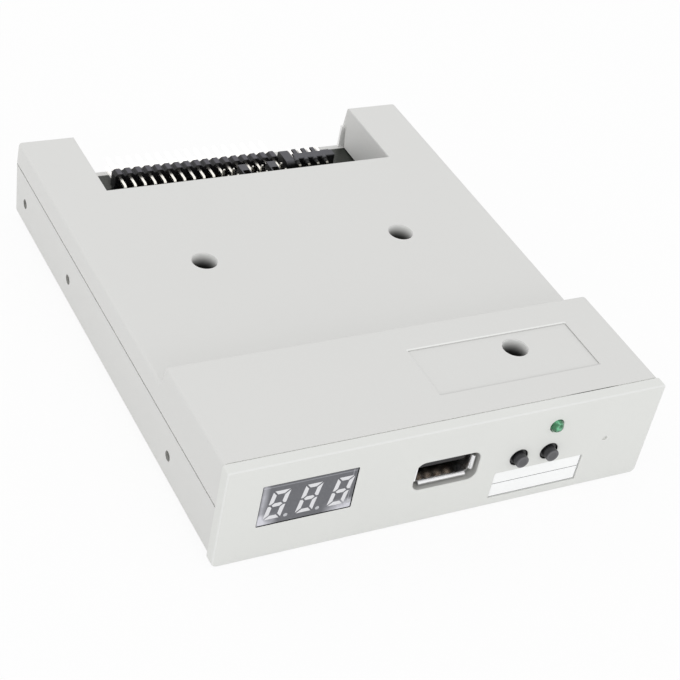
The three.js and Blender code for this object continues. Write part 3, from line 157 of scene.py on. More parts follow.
floor_reach = 2500 * mm
floor_tone = 0.9
shadow_share = 0.1
sheet = bmesh.new()
bmesh.ops.create_grid(sheet, x_segments=1, y_segments=1, size=floor_reach)
floor_mesh = bpy.data.meshes.new("floor")
sheet.to_mesh(floor_mesh)
sheet.free()
floor = bpy.data.objects.new("floor", floor_mesh)
bpy.context.collection.objects.link(floor)
floor_paint = bpy.data.materials.new("floor_board")
board_nodes = Nodes(floor_paint)
output = board_nodes.tree.nodes["Material Output"]
board_nodes.tree.nodes.remove(board_nodes.tree.nodes["Principled BSDF"])
paper = (floor_tone, floor_tone, floor_tone, 1)
matte = board_nodes.add("ShaderNodeBsdfDiffuse", sockets={"Color": paper})
white = board_nodes.add("ShaderNodeEmission", sockets={"Color": (1, 1, 1, 1), "Strength": 1.0})
lift = board_nodes.seen_directly() * (1 - shadow_share)
mixed = board_nodes.add("ShaderNodeMixShader", sockets={0: lift, 1: matte, 2: white})
board_nodes.join(mixed, output.inputs["Surface"])
floor_mesh.materials.append(floor_paint)
floor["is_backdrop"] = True


# Bottom case: an open tray of pale grey moulded plastic. Its sides carry the tapped holes, two
# walls and a low lip with two small horns go round the bay, and a thin tongue runs along its rim.
def rounded(corners, steps=8):
    """The points of a closed line through corners (a, b) or (a, b, fillet radius)."""
    line = []
    for number, (a, b, *rest) in enumerate(corners):
        here = Vector((a, b))
        radius = rest[0] if rest else 0
        if radius <= 0:
            line.append(here)
            continue
        after = corners[(number + 1) % len(corners)]
        back = (Vector(corners[number - 1][:2]) - here).normalized()
        onward = (Vector(after[:2]) - here).normalized()
        half = back.angle(onward) / 2
        centre = here + (back + onward).normalized() * radius / sin(half)
        spoke = here + back * radius / tan(half) - centre
        turn = (pi - 2 * half) * (1 if back.cross(onward) < 0 else -1)
        for step in range(steps + 1):
            line.append(centre + Matrix.Rotation(turn * step / steps, 2) @ spoke)
    return line


def laid(line, axis, level):
    """A flat line's points in space, at a level of the axis that it is square to."""
    first, second, third = {"x": (1, 2, 0), "y": (0, 2, 1), "z": (0, 1, 2)}[axis]
    points = []
    for a, b in line:
        point = [0, 0, 0]
        point[first], point[second], point[third] = a, b, level
        points.append(Vector(point))
    return points


def skin(mesh, rings, closed=False):
    """Faces over rings of equally many points, with both ends capped or joined to each other."""
    rows = [[mesh.verts.new(point) for point in ring] for ring in rings]
    spans = list(zip(rows, rows[1:]))
    if closed:
        spans.append((rows[-1], rows[0]))
    else:
        mesh.faces.new(rows[0])
        mesh.faces.new(rows[-1])
    for low, high in spans:
        for number in range(len(low)):
            mesh.faces.new((low[number - 1], low[number], high[number], high[number - 1]))


def piece(name, mesh):
    """An object made of a finished mesh, with its faces turned outwards."""
    bmesh.ops.recalc_face_normals(mesh, faces=mesh.faces)
    data = bpy.data.meshes.new(name)
    mesh.to_mesh(data)
    mesh.free()
    made = bpy.data.objects.new(name, data)
    bpy.context.collection.objects.link(made)
    return made


def lofted(name, rings, closed=False):
    mesh = bmesh.new()
    skin(mesh, rings, closed)
    return piece(name, mesh)


def swept(corners, axis, low, high, name="tool", steps=8):
    line = rounded(corners, steps)
    return lofted(name, [laid(line, axis, low), laid(line, axis, high)])


def rectangle(left, right, low, high, radius=0):
    return [(left, low, radius), (right, low, radius), (right, high, radius), (left, high, radius)]


def block(x, y, z):
    return swept(rectangle(*x, *y), "z", *z)


def circle(centre, radius, sides):
    angles = [2 * pi * side / sides for side in range(sides)]
    return [Vector(centre) + Vector((cos(angle), sin(angle))) * radius for angle in angles]


def turned(centre, axis, profile, name="tool", sides=48):
    """A solid of circles about a line along the axis. The profile holds (level, radius) pairs."""
    rings = [laid(circle(centre, radius, sides), axis, level) for level, radius in profile]
    return lofted(name, rings)


def quarter(steps):
    """A quarter round from its top to its side: how far down and how far in each point lies."""
    angles = [pi / 2 * step / steps for step in range(steps + 1)]
    return [(1 - cos(angle), 1 - sin(angle)) for angle in angles]


def combine(operation, target, tools):
    for tool in tools:
        change = target.modifiers.new("combine", "BOOLEAN")
        change.operation = operation
        change.solver = "MANIFOLD"
        change.object = tool
    bpy.context.view_layer.update()
    result = target.evaluated_get(bpy.context.evaluated_depsgraph_get())
    old = target.data
    target.data = bpy.data.meshes.new_from_object(result)
    target.modifiers.clear()
    target.data.materials.clear()
    bpy.data.meshes.remove(old)
    for tool in tools:
        bpy.data.meshes.remove(tool.data)
    return target


def carve(target, *tools):
    return combine("DIFFERENCE", target, tools)


def fuse(target, *tools):
    return combine("UNION", target, tools)


def shared(target, *tools):
    return combine("INTERSECT", target, tools)


def smooth(target, angle):
    """Shades rounded stretches smooth, and keeps edges over the angle sharp."""
    mesh = bmesh.new()
    mesh.from_mesh(target.data)
    bmesh.ops.remove_doubles(mesh, verts=mesh.verts, dist=0.0005 * mm)
    bmesh.ops.dissolve_limit(mesh, angle_limit=radians(0.2), verts=mesh.verts, edges=mesh.edges)
    for facet in mesh.faces:
        facet.smooth = True
    for edge in mesh.edges:
        edge.smooth = len(edge.link_faces) == 2 and edge.calc_face_angle() < radians(angle)
    mesh.to_mesh(target.data)
    mesh.free()
    even = target.modifiers.new("even_shading", "WEIGHTED_NORMAL")
    even.keep_sharp = True


def tint(colour):
    """A colour as it looks on a screen, from 0 to 255, turned into light."""
    shares = [channel / 255 for channel in colour]
    return (*[s / 12.92 if s <= 0.04045 else ((s + 0.055) / 1.055) ** 2.4 for s in shares], 1)


def paint(name, colour, roughness, **sockets):
    """A material with its surface shader set."""
    material = bpy.data.materials.new(name)
    nodes = Nodes(material)
    surface = nodes.tree.nodes["Principled BSDF"].inputs
    for socket, value in {"Base Color": tint(colour), "Roughness": roughness, **sockets}.items():
        nodes.join(value, surface[socket])
    return material, nodes, surface


def blend(nodes, share, first, second):
    """A colour between two, each a screen colour or a link."""
    ends = [end if isinstance(end, Link) else tint(end) for end in (first, second)]
    sockets = {0: share, 6: ends[0], 7: ends[1]}
    return nodes.add("ShaderNodeMix", {"data_type": "RGBA"}, sockets, output=2)


def noise(nodes, scale, detail=2):
    """Cloudy values from 0 to 1 fixed to the piece, with a number of clouds to the metre."""
    place = nodes.add("ShaderNodeTexCoord", output="Object")
    sockets = {"Vector": place, "Scale": scale, "Detail": detail, "Roughness": 0.5}
    return nodes.add("ShaderNodeTexNoise", {"noise_dimensions": "3D"}, sockets)


def bump(nodes, surface, height, strength, distance=0.02 * mm):
    sockets = {"Height": height, "Strength": strength, "Distance": distance}
    nodes.join(nodes.add("ShaderNodeBump", sockets=sockets), surface["Normal"])


def moulded(name, colour, roughness, grain, spread=3):
    """Moulded plastic: faint clouds in its colour, an uneven sheen and a fine eroded grain."""
    material, nodes, surface = paint(name, colour, roughness)
    clouds = noise(nodes, 35, 3)
    specks = noise(nodes, 3200)
    light = [min(channel + spread, 255) for channel in colour]
    dark = [channel - spread for channel in colour]
    nodes.join(blend(nodes, clouds, dark, light), surface["Base Color"])
    nodes.join(roughness - 0.05 + 0.06 * clouds + 0.06 * specks, surface["Roughness"])
    bump(nodes, surface, specks, grain)
    return material


def finished(target, material, body, slot, *nodes, angle=35):
    """Shades a piece, gives it its material and its body, and hides the CAD nodes it stands for.
    The slot is not used.
    """
    smooth(target, angle)
    target.data.materials.append(material)
    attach(target, body)
    if nodes:
        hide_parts(*nodes)


def lined(target, material, picked):
    """Gives a further material to the faces whose middles and normals a test picks."""
    target.data.materials.append(material)
    index = len(target.data.materials) - 1
    for polygon in target.data.polygons:
        if picked(polygon.center, polygon.normal):
            polygon.material_index = index


past = 2 * mm  # how far a cutting tool stands out of what it cuts
half_width = 50.6 * mm
side_lean = 0.15 * mm
rear_lean = 1.4 * mm
wall = 2 * mm
case_front = face + 2.9 * mm
case_rear = face + 123.2 * mm
seam_level = 13.95 * mm
tray_rim = seam_level - 0.2 * mm
tray_under = 0.7 * mm
tray_corner = 1 * mm
tray_edge = 1.3 * mm
tongue_height = 1.25 * mm
tongue_top = tray_rim + tongue_height
tongue_share = 0.45  # of the wall's thickness
tongue_setback = 2.5 * mm
tongue_break = 39.3 * mm
bay_front = case_rear - 23.2 * mm
bay_inner = 38 * mm
wall_rear = case_rear - 0.5 * mm
lip_level = 8.5 * mm
horn_side = 35.85 * mm
horn_width = 1.75 * mm
horn_neck = 0.6 * mm
horn_depth = 0.75 * mm
horn_shoulder = seam_level - 0.1 * mm
horn_top = 14.6 * mm
hole_places = [face + y * mm for y in (25.4, 85.4, 115.4)]
hole_radius = 1.15 * mm
side_hole_level = 7 * mm
side_hole_depth = 1.6 * mm
side_hole_edge = 0.1 * mm
side_hole_inset = 0.06 * mm  # the side's lean at the holes' level
under_hole_inset = 4.5 * mm
under_hole_depth = 3.8 * mm
under_hole_edge = 0.15 * mm


def drafted(name, profile, half, lean, base):
    """A solid with one side view. Its sides lean inwards from the base level."""
    rings = []
    for side in (-1, 1):
        rings.append([Vector((side * (half - lean * abs(z - base)), y, z)) for y, z in profile])
    return lofted(name, rings)


def rounded_over(target, radius, wanted, steps=6):
    """Rounds the edges that a test picks by the edge and its middle."""
    mesh = bmesh.new()
    mesh.from_mesh(target.data)
    edges = []
    for edge in mesh.edges:
        middle = (edge.verts[0].co + edge.verts[1].co) / 2
        if edge.calc_face_angle() > radians(20) and wanted(edge, middle):
            edges.append(edge)
    shape = {"offset": radius, "segments": steps, "profile": 0.5, "affect": "EDGES"}
    bmesh.ops.bevel(mesh, geom=edges, clamp_overlap=False, **shape)
    mesh.to_mesh(target.data)
    mesh.free()
    return target


def upright(edge, middle):
    """Picks the corner edges that stand at the rear of the housing."""
    rise = (edge.verts[0].co - edge.verts[1].co).normalized()
    return abs(rise.z) > 0.9 and middle.y > face + 100 * mm


def under_edge(edge, middle):
    """Picks the edges between the tray's underside and its sides or rear."""
    return middle.z < tray_under + 0.1 * mm and middle.y > case_front + 0.5 * mm


def tray_form(inset=0, beyond=0):
    """The tray's outside, or its hollow when set in by the wall."""
    top = tray_rim + beyond
    low = tray_under + inset
    front = case_front - beyond
    rear = case_rear - inset
    profile = [(front, low), (rear - rear_lean, low), (rear, top), (front, top)]
    return drafted("bottom_moulding", profile, half_width - inset, side_lean / (top - low), top)


def hole_tool(axis, centre, mouth, inward, radius, depth, edge):
    """A round cutting tool whose mouth is rounded over by an edge radius. Inward is 1 or -1."""
    profile = [(mouth - inward * past, radius + edge)]
    for down, out in quarter(5):
        profile.append((mouth + inward * edge * down, radius + edge * out))
    profile.append((mouth + inward * depth, radius))
    return turned(centre, axis, profile)


bottom = rounded_over(rounded_over(tray_form(), tray_corner, upright, 8), tray_edge, under_edge)
carve(bottom, tray_form(wall, past))
tongue_ends = (case_front + tongue_setback, case_rear)
tongue = carve(
    shared(
        tray_form(wall * (1 - tongue_share), tongue_height),
        block((-half_width, half_width), tongue_ends, (tray_rim - past, tongue_top)),
    ),
    tray_form(wall, past),
    block((-tongue_break, tongue_break), (bay_front, case_rear), (tray_rim, tongue_top + past)),
)
walls = []
horns = []
for side in (-1, 1):
    ends = sorted((side * bay_inner, side * (bay_inner + wall)))
    walls.append(block(ends, (bay_front, wall_rear), (tray_under + wall / 2, tray_rim)))
    outline = [
        (horn_side, lip_level - wall / 2),
        (horn_side + horn_width, lip_level - wall / 2),
        (horn_side + horn_width, horn_shoulder),
        (horn_side + horn_neck, horn_shoulder),
        (horn_side + horn_neck, horn_top),
        (horn_side, horn_top),
    ]
    across = [(side * x, z) for x, z in outline]
    horns.append(swept(across, "y", wall_rear - horn_depth, wall_rear))
fuse(bottom, tongue, *walls)
lip_ends = (case_rear - 2 * wall, case_rear + past)
cutters = [block((-bay_inner, bay_inner), lip_ends, (lip_level, tongue_top + past))]
for side in (-1, 1):
    mouth = side * (half_width - side_hole_inset)
    for y in hole_places:
        spot = (y, side_hole_level)
        sizes = (hole_radius, side_hole_depth, side_hole_edge)
        cutters.append(hole_tool("x", spot, mouth, -side, *sizes))
    for y in hole_places[:2]:
        spot = (side * (half_width - under_hole_inset), y)
        sizes = (hole_radius, under_hole_depth, under_hole_edge)
        cutters.append(hole_tool("z", spot, tray_under, 1, *sizes))
carve(bottom, *cutters)
fuse(bottom, *horns)
case_plastic = moulded("case_plastic", (219, 219, 217), 0.55, 0.05, 1)
finished(bottom, case_plastic, "drive", "case_plastic", "bottom_case")


def on_horn(centre, normal):
    """Picks the horns' fronts, sides and tops."""
    across = horn_side - 0.1 * mm < abs(centre.x) < horn_side + horn_width + 0.1 * mm
    behind = centre.y > wall_rear - horn_depth - 0.05 * mm
    return across and behind and centre.z > lip_level + 0.1 * mm and normal.y < 0.5


def in_side_hole(centre, normal):
    holes = [Vector((y, side_hole_level)) for y in hole_places]
    near = min((centre.yz - hole).length for hole in holes)
    return near < hole_radius + 0.05 * mm and abs(centre.x) < half_width - 2 * side_hole_inset


# Painted light and shade: the horns' faces are made paler than the case plastic, and the side
# holes' walls darker.
lined(bottom, moulded("horn_painted_light", (254, 254, 252), 0.6, 0.05, 4), on_horn)
lined(bottom, moulded("hole_shade", (168, 168, 164), 0.7, 0.05, 4), in_side_hole)


# Top cover: the same plastic, stepped down behind the bezel, with rounded edges and a shallow
# rectangular pocket. A bay is cut out of its rear between two skirts, and three deep wells let
# the screws in.
raised_level = 25.1 * mm
deck_level = 19.6 * mm
cover_rim = seam_level + 0.2 * mm
raised_rear = face + 32 * mm
raised_foot = face + 33.5 * mm
deck_lean = 0.3 * mm
cover_corner = 0.9 * mm
cover_edge = 0.8 * mm
cover_foot = 0.6 * mm
bay_half = 37 * mm
bay_draft = 0.5 * mm
bay_edge = 0.4 * mm
board_top = 9 * mm
well_radius = 2.85 * mm
well_rim = well_radius + 1.3 * mm
well_names = ("case_screw_rear_left", "case_screw_rear_right", "case_screw_front")
well_seat = 1.95 * mm  # below the top of the screw's head
well_edge = 0.3 * mm
post_low = 9.3 * mm
screw_hole = 1.6 * mm
screw_hole_low = 7 * mm
rebate_gap = 0.3 * mm
pocket_left, pocket_right = 0.6 * mm, 40.2 * mm
pocket_front, pocket_rear = face + 10.2 * mm, face + 24.4 * mm
pocket_floor = raised_level - 0.3 * mm
pocket_lip = 0.4 * mm
pocket_corner = 0.3 * mm
broken_level = raised_level - 0.08 * mm
skirt_low = board_top + 0.3 * mm
skirt_rear = case_rear - 1.3 * mm
skirt_slant = 1.8 * mm
skirt_thickness = 0.6 * mm


def middle_of(name, first, second):
    """The middle of a CAD piece's box along two of the axes 0, 1 and 2."""
    low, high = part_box(name)
    return tuple((low[axis] + high[axis]) / 2 for axis in (first, second))


def cover_form(inset=0, beyond=0):
    """The cover's outside, or its hollow when set in by the wall."""
    base = cover_rim - beyond
    rear = case_rear - inset
    profile = [
        (case_front - beyond, base),
        (rear, base),
        (rear - deck_lean, deck_level - inset),
        (raised_foot - inset, deck_level - inset),
        (raised_rear - inset, raised_level - inset),
        (case_front - beyond, raised_level - inset),
    ]
    lean = side_lean / (raised_level - seam_level)
    return drafted("cover_moulding", profile, half_width - inset, lean, base)


def foot_edge(edge, middle):
    return not edge.is_convex


def top_edge(edge, middle):
    """Picks the outer edges of the deck, the slope and the raised top, but for the front one."""
    high = middle.z > deck_level - 0.1 * mm
    return edge.is_convex and high and middle.y > case_front + 0.5 * mm


def cover_hollow(inset):
    inner = bay_half + wall
    height = (cover_rim - 2 * past, raised_level)
    bay = block((-inner, inner), (bay_front, case_rear + past), height)
    return carve(cover_form(inset, past), bay)


def bay_tool():
    """Cuts the bay, and rounds over the cover's edges along it."""
    flare = 2 * bay_edge
    high = deck_level + past
    reach = bay_half + flare
    half = [
        (bay_half - bay_draft, board_top),
        (bay_half, deck_level, bay_edge),
        (reach, deck_level),
        (reach, high),
    ]
    across = half + [(-x, z, *rest) for x, z, *rest in reversed(half)]
    along = [
        (bay_front, board_top),
        (case_rear + past, board_top),
        (case_rear + past, high),
        (bay_front - flare, high),
        (bay_front - flare, deck_level),
        (bay_front, deck_level, bay_edge),
    ]
    ends = (bay_front - flare, case_rear + past)
    return shared(swept(across, "y", *ends), swept(along, "x", -reach, reach))


def pocket_tool():
    """Cuts the shallow pocket, with its upper edges broken."""
    rings = []
    profile = [(pocket_floor, 0), (broken_level, 0), (raised_level, pocket_lip)]
    profile.append((raised_level + past, pocket_lip))
    for level, grow in profile:
        across = (pocket_left - grow, pocket_right + grow)
        along = (pocket_front - grow, pocket_rear + grow)
        rings.append(laid(rounded(rectangle(*across, *along, pocket_corner + grow)), "z", level))
    return lofted("tool", rings)


cover = rounded_over(cover_form(), cover_corner, upright, 8)
rounded_over(cover, cover_foot, foot_edge, 4)
rounded_over(cover, cover_edge, top_edge)
carve(cover, cover_hollow(wall))
rebate_height = (cover_rim - past, tongue_top + rebate_gap)
rebate = shared(
    cover_hollow(wall * (1 - tongue_share) - rebate_gap),
    block((-half_width, half_width), (face, case_rear), rebate_height),
)
carve(cover, rebate)
posts = []
cutters = [bay_tool(), pocket_tool()]
for name in well_names:
    spot = middle_of(name, 0, 1)
    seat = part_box(name)[1].z - well_seat
    raised = spot[1] < raised_rear
    roof = raised_level if raised else deck_level
    mouth = pocket_floor if raised else deck_level
    posts.append(turned(spot, "z", [(post_low, well_rim), (roof - wall / 2, well_rim)]))
    cutters.append(hole_tool("z", spot, mouth, -1, well_radius, mouth - seat, well_edge))
    cutters.append(turned(spot, "z", [(screw_hole_low, screw_hole), (seat + 0.1 * mm, screw_hole)]))
for side in (-1, 1):
    skirt = [
        (bay_front, skirt_low),
        (skirt_rear - skirt_slant, skirt_low),
        (skirt_rear, cover_rim),
        (skirt_rear, cover_rim + wall / 2),
        (bay_front, cover_rim + wall / 2),
    ]
    ends = sorted((side * (bay_half - past), side * (bay_half + skirt_thickness)))
    posts.append(swept(skirt, "x", *ends))
fuse(cover, *posts)
carve(cover, *cutters)
finished(cover, case_plastic, "drive", "case_plastic", "top_cover")


def along_axis(nodes, axis):
    """How far a point of the piece lies along X, Y or Z, which are 0, 1 and 2."""
    place = nodes.add("ShaderNodeTexCoord", output="Object")
    return nodes.add("ShaderNodeSeparateXYZ", sockets={0: place}, output=axis)


def fade(nodes, value, start, end, course="LINEAR"):
    """0 up to the start, 1 past the end and a ramp between them."""
    sockets = {"Value": value, "From Min": start, "From Max": end}
    return nodes.add("ShaderNodeMapRange", {"interpolation_type": course}, sockets)


def faced(nodes, surface, colour, least, spread, scale, detail=2):
    """Sets a surface's colour, and a roughness that varies by a spread above its least value."""
    nodes.join(colour, surface["Base Color"])
    nodes.join(least + spread * noise(nodes, scale, detail), surface["Roughness"])


def well_shade(name, mouth):
    """Painted light and shade: the case's plastic, paler at a well's mouth and toned down with the
    depth below it.
    """
    material, nodes, surface = paint(name, (200, 200, 198), 0.6)
    depth = fade(nodes, along_axis(nodes, 2), mouth, mouth - 3.9 * mm, "SMOOTHSTEP")
    faced(nodes, surface, blend(nodes, depth, (252, 252, 250), (46, 46, 44)), 0.5, 0.1, 400)
    return material


def in_pocket_wall(centre, normal):
    """Picks the pocket's right wall, up to its broken edge."""
    across = pocket_left < centre.x < pocket_right + 0.1 * mm
    along = pocket_front < centre.y < pocket_rear + 0.1 * mm
    return across and along and normal.x < -0.9 and centre.z > pocket_floor


def in_rear_wall(centre, normal):
    """Picks the pocket's rear wall."""
    inside = pocket_left < centre.x < pocket_right and abs(centre.y - pocket_rear) < 0.1 * mm
    return inside and normal.y < -0.9 and centre.z > pocket_floor


def on_rear_lip(centre, normal):
    """Picks the broken edge along the pocket's rear wall."""
    return pocket_rear < centre.y < pocket_rear + pocket_lip and -0.9 < normal.y < -0.1


def on_front_lip(centre, normal):
    """Picks the broken edge along the pocket's front wall."""
    return pocket_front - pocket_lip < centre.y < pocket_front and 0.1 < normal.y < 0.9


# Painted shade and light round the pocket: its right and rear walls and its front broken edge are
# darker than the plastic, and its rear broken edge is a paler painted highlight.
for name, colour, roughness, picked in (
    ("pocket_shade", (170, 170, 168), 0.6, in_pocket_wall),
    ("pocket_rear", (200, 200, 198), 0.6, in_rear_wall),
    ("pocket_lip", (234, 235, 233), 0.5, on_rear_lip),
    ("pocket_front", (204, 204, 202), 0.5, on_front_lip),
):
    lined(cover, moulded(name, colour, roughness, 0.05, 2), picked)
# Painted light and shade in the gap behind the bezel's top edge: the case's front face there is
# paler than the plastic, and darker over a stretch towards the right.
gap_shade, nodes, surface = paint("gap_shade", (150, 150, 148), 0.6)
across = along_axis(nodes, 0)
shaded_stretch = fade(nodes, across, 26 * mm, 31 * mm) * fade(nodes, across, 40.5 * mm, 38 * mm)
shades = blend(nodes, shaded_stretch, (250, 250, 248), (120, 120, 118))
faced(nodes, surface, shades, 0.55, 0.1, 400)
lined(cover, gap_shade, lambda centre, normal: normal.y < -0.9 and centre.y < case_front + 0.1 * mm)
for name in well_names:
    spot = Vector(middle_of(name, 0, 1))
    mouth = pocket_floor if spot.y < raised_rear else deck_level

    def in_well(centre, normal):
        near = (centre.xy - spot).length < well_radius + 0.05 * mm
        return near and centre.z < mouth - 0.25 * mm

    lined(cover, well_shade(name + "_shade", mouth), in_well)


# Front bezel: a thick plate of smoother plastic, rounded along its edges. A rim behind it closes
# the gap to the housing, and each opening has a softened mouth.
bezel_half = 50.8 * mm
bezel_low = 0.15 * mm
bezel_high = 25.2 * mm
bezel_thickness = 2.6 * mm
front_round = 0.4 * mm
lower_round = 1.3 * mm
upper_round = 0.6 * mm
least_round = 0.1 * mm
rim_size = (96.1 * mm, 19.8 * mm)
rim_middle = (0, 12.9 * mm)
rim_corner = 0.8 * mm
rim_wall = 1 * mm
rim_front = face + 1.5 * mm
rim_rear = face + 5.5 * mm
rim_tool_rear = face + 7 * mm
sharp = 0.001 * mm
through = bezel_thickness + 0.5 * mm
usb_middle = (middle_of("usb_shell", 0, 2)[0], 13.1 * mm)
usb_size = (13.1 * mm, 5.7 * mm)
stem_names = ("left_button_stem", "right_button_stem")
stem_hole = 2.13 * mm
lamp_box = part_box("status_led")
lamp_spot = (middle_of("status_led", 0, 2)[0], 19.75 * mm)
lamp_hole = 1.65 * mm
lamp_seat = 2.1 * mm
mark_spot = (38.8 * mm, 12.9 * mm)
mark_radius = 0.55 * mm
mark_depth = 0.4 * mm
window_gap = 0.3 * mm
socket_corner = 2 * mm
film_depth = 0.35 * mm
film_gap = 0.3 * mm


def rounded_box(centre, size, radius, grow=0):
    """A rectangle's closed line about a centre, grown or shrunk all round."""
    x, z = size[0] / 2 + grow, size[1] / 2 + grow
    across = (centre[0] - x, centre[0] + x)
    return rounded(rectangle(*across, centre[1] - z, centre[1] + z, max(radius + grow, sharp)))


def boxed(name, centre, size, radius, axis, profile, closed=False):
    """A solid of rounded rectangles about a line along the axis, from (level, grow) pairs."""
    rings = []
    for level, grow in profile:
        rings.append(laid(rounded_box(centre, size, radius, grow), axis, level))
    return lofted(name, rings, closed)


def mouth_tool(centre, size, radius, edge, depth):
    """Cuts a rounded rectangle into the bezel's face and rounds over its mouth."""
    profile = [(face - past, edge)]
    profile += [(face + edge * down, edge * out) for down, out in quarter(5)]
    return boxed("tool", centre, size, radius, "y", profile + [(face + depth, 0)])


def size_of(name):
    """A CAD piece's width and height."""
    low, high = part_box(name)
    return (high.x - low.x, high.z - low.z)


def plate_line(inset):
    """The plate's outline, set in all round. Its lower corners are rounder than its upper ones."""
    side = bezel_half - inset
    low, high = bezel_low + inset, bezel_high - inset
    lower, upper = [max(radius - inset, least_round) for radius in (lower_round, upper_round)]
    half = [(side, low, lower), (side, high, upper)]
    return rounded([(-side, low, lower), *half, (-side, high, upper)])


display_low, display_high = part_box("display_shell")
display_middle = middle_of("display_shell", 0, 2)
display_size = size_of("display_shell")
label_middle = middle_of("button_label", 0, 2)
label_size = size_of("button_label")
rings = []
for down, out in quarter(6):
    rings.append(laid(plate_line(front_round * out), "y", face + front_round * down))
rings.append(laid(plate_line(0), "y", face + bezel_thickness))
bezel = lofted("bezel_moulding", rings)
rim_ends = [(rim_front, 0), (rim_rear, 0)]
rim_hollow = [(face, -rim_wall), (rim_tool_rear, -rim_wall)]
rim = carve(
    boxed("tool", rim_middle, rim_size, rim_corner, "y", rim_ends),
    boxed("tool", rim_middle, rim_size, sharp, "y", rim_hollow),
)
fuse(bezel, rim)
window_size = [length + window_gap for length in display_size]
socket_size = (usb_size[0] + 2 * mm, usb_size[1] + 1.7 * mm)
film_size = [length + film_gap for length in label_size]
cutters = [
    mouth_tool(display_middle, window_size, 0.25 * mm, 0.15 * mm, through),
    mouth_tool(usb_middle, socket_size, socket_corner, 0.3 * mm, through),
]
for name in stem_names:
    cutters.append(hole_tool("y", middle_of(name, 0, 2), face, 1, stem_hole, through, 0.2 * mm))
seat_ends = [(face + bezel_thickness, lamp_seat), (face + 6 * mm, lamp_seat)]
cutters += [
    hole_tool("y", lamp_spot, face, 1, lamp_hole, through, 0.12 * mm),
    turned(lamp_spot, "y", seat_ends),
    mouth_tool(label_middle, film_size, 0.2 * mm, 0.08 * mm, film_depth),
    hole_tool("y", mark_spot, face, 1, mark_radius, mark_depth, 0.15 * mm),
]
carve(bezel, *cutters)
bezel_plastic = moulded("bezel_plastic", (225, 226, 223), 0.5, 0.05)
finished(bezel, bezel_plastic, "drive", "bezel_plastic", "front_bezel")


def on_front_round(centre, normal):
    """Picks the rounding along the plate's outer edges."""
    level = bezel_low + front_round < centre.z < bezel_high - front_round
    outer = abs(centre.x) > bezel_half - front_round or not level
    return outer and 0.25 < -normal.y < 0.93 and centre.y < face + front_round


def in_opening(middle, size, spare, nearest):
    """A test for the walls of an opening in the bezel, past a depth."""

    def inside(centre, normal):
        aside = abs(centre.x - middle[0]) - size[0] / 2
        above = abs(centre.z - middle[1]) - size[1] / 2
        return max(aside, above) < spare and centre.y > face + nearest and abs(normal.y) < 0.7

    return inside


# Painted highlight along the plate's rounded outer edges.
lined(bezel, moulded("edge_painted_highlight", (229, 230, 228), 0.4, 0.02, 2), on_front_round)
# Painted shade: near-black walls in the display window and the stem holes, and darker grey walls in
# the USB opening.
opening_painted_shade = moulded("opening_painted_shade", (24, 24, 26), 0.6, 0.05, 2)
socket_wall_painted_shade = moulded("socket_wall_painted_shade", (186, 186, 183), 0.6, 0.05, 2)
lined(bezel, opening_painted_shade, in_opening(display_middle, display_size, 0.3 * mm, 0.1 * mm))
lined(bezel, socket_wall_painted_shade, in_opening(usb_middle, usb_size, 1.4 * mm, 0.2 * mm))
for name in stem_names:
    lined(bezel, opening_painted_shade, in_opening(middle_of(name, 0, 2), (0, 0), 2.3 * mm, 0.15 * mm))


# Label by the buttons: a die-cut white film, stuck into its shallow pocket. It is bare but for a
# line across and thin lines along its right and lower edges, partly a printed border and partly
# painted shade.
label_low, label_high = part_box("button_label")
film_edge = 0.03 * mm
border = 0.13 * mm  # from the film's edge to the middle of its border
divider = 3.75 * mm
profile = [(0, -0.04 * mm), (film_edge, 0), (0.15 * mm, 0)]
profile = [(label_low.y + level, grow) for level, grow in profile]
label = boxed("label_film_sheet", label_middle, label_size, 0.3 * mm, "y", profile)
label_film, nodes, surface = paint("label_film", (244, 244, 244), 0.35)
bump(nodes, surface, noise(nodes, 600), 0.1)
across, level = along_axis(nodes, 0), along_axis(nodes, 2)
# The lines along the right and lower edges are partly a printed border and partly painted shade
# from the pocket's edges; the line across is printed.
print_and_shade_lines = 0
for value, spot, breadth in (
    (across, label_high.x - border, 0.05 * mm),
    (level, label_low.z + border, 0.06 * mm),
    (level, label_low.z + divider, 0.07 * mm),
):
    sockets = {0: value, 1: spot, 2: breadth}
    print_and_shade_lines = print_and_shade_lines + nodes.add("ShaderNodeMath", {"operation": "COMPARE"}, sockets)
share = nodes.add("ShaderNodeMath", {"operation": "MINIMUM"}, {0: print_and_shade_lines, 1: 1.0})
faced(nodes, surface, blend(nodes, share, (253, 254, 254), (70, 70, 74)), 0.3, 0.1, 200)
finished(label, label_film, "drive", "label_film", "button_label")


# Case screws: three zinc-plated pan-head screws with cross recesses, seated at the bottom of the
# wells. Their threads run down into the bottom case.
head_height = 1.9 * mm
head_radius = 2.5 * mm
shank_radius = 1.3 * mm
cross_turn = 0.5


def metal(name, colour, roughness, marks):
    """Bare or plated metal with fine rubbed marks."""
    material, nodes, surface = paint(name, colour, roughness, Metallic=1.0)
    clouds = noise(nodes, 400, 3)
    nodes.join(roughness - 0.08 + 0.16 * clouds, surface["Roughness"])
    darker = [channel * 0.93 for channel in colour]
    nodes.join(blend(nodes, clouds, darker, colour), surface["Base Color"])
    bump(nodes, surface, noise(nodes, 2500), marks)
    return material


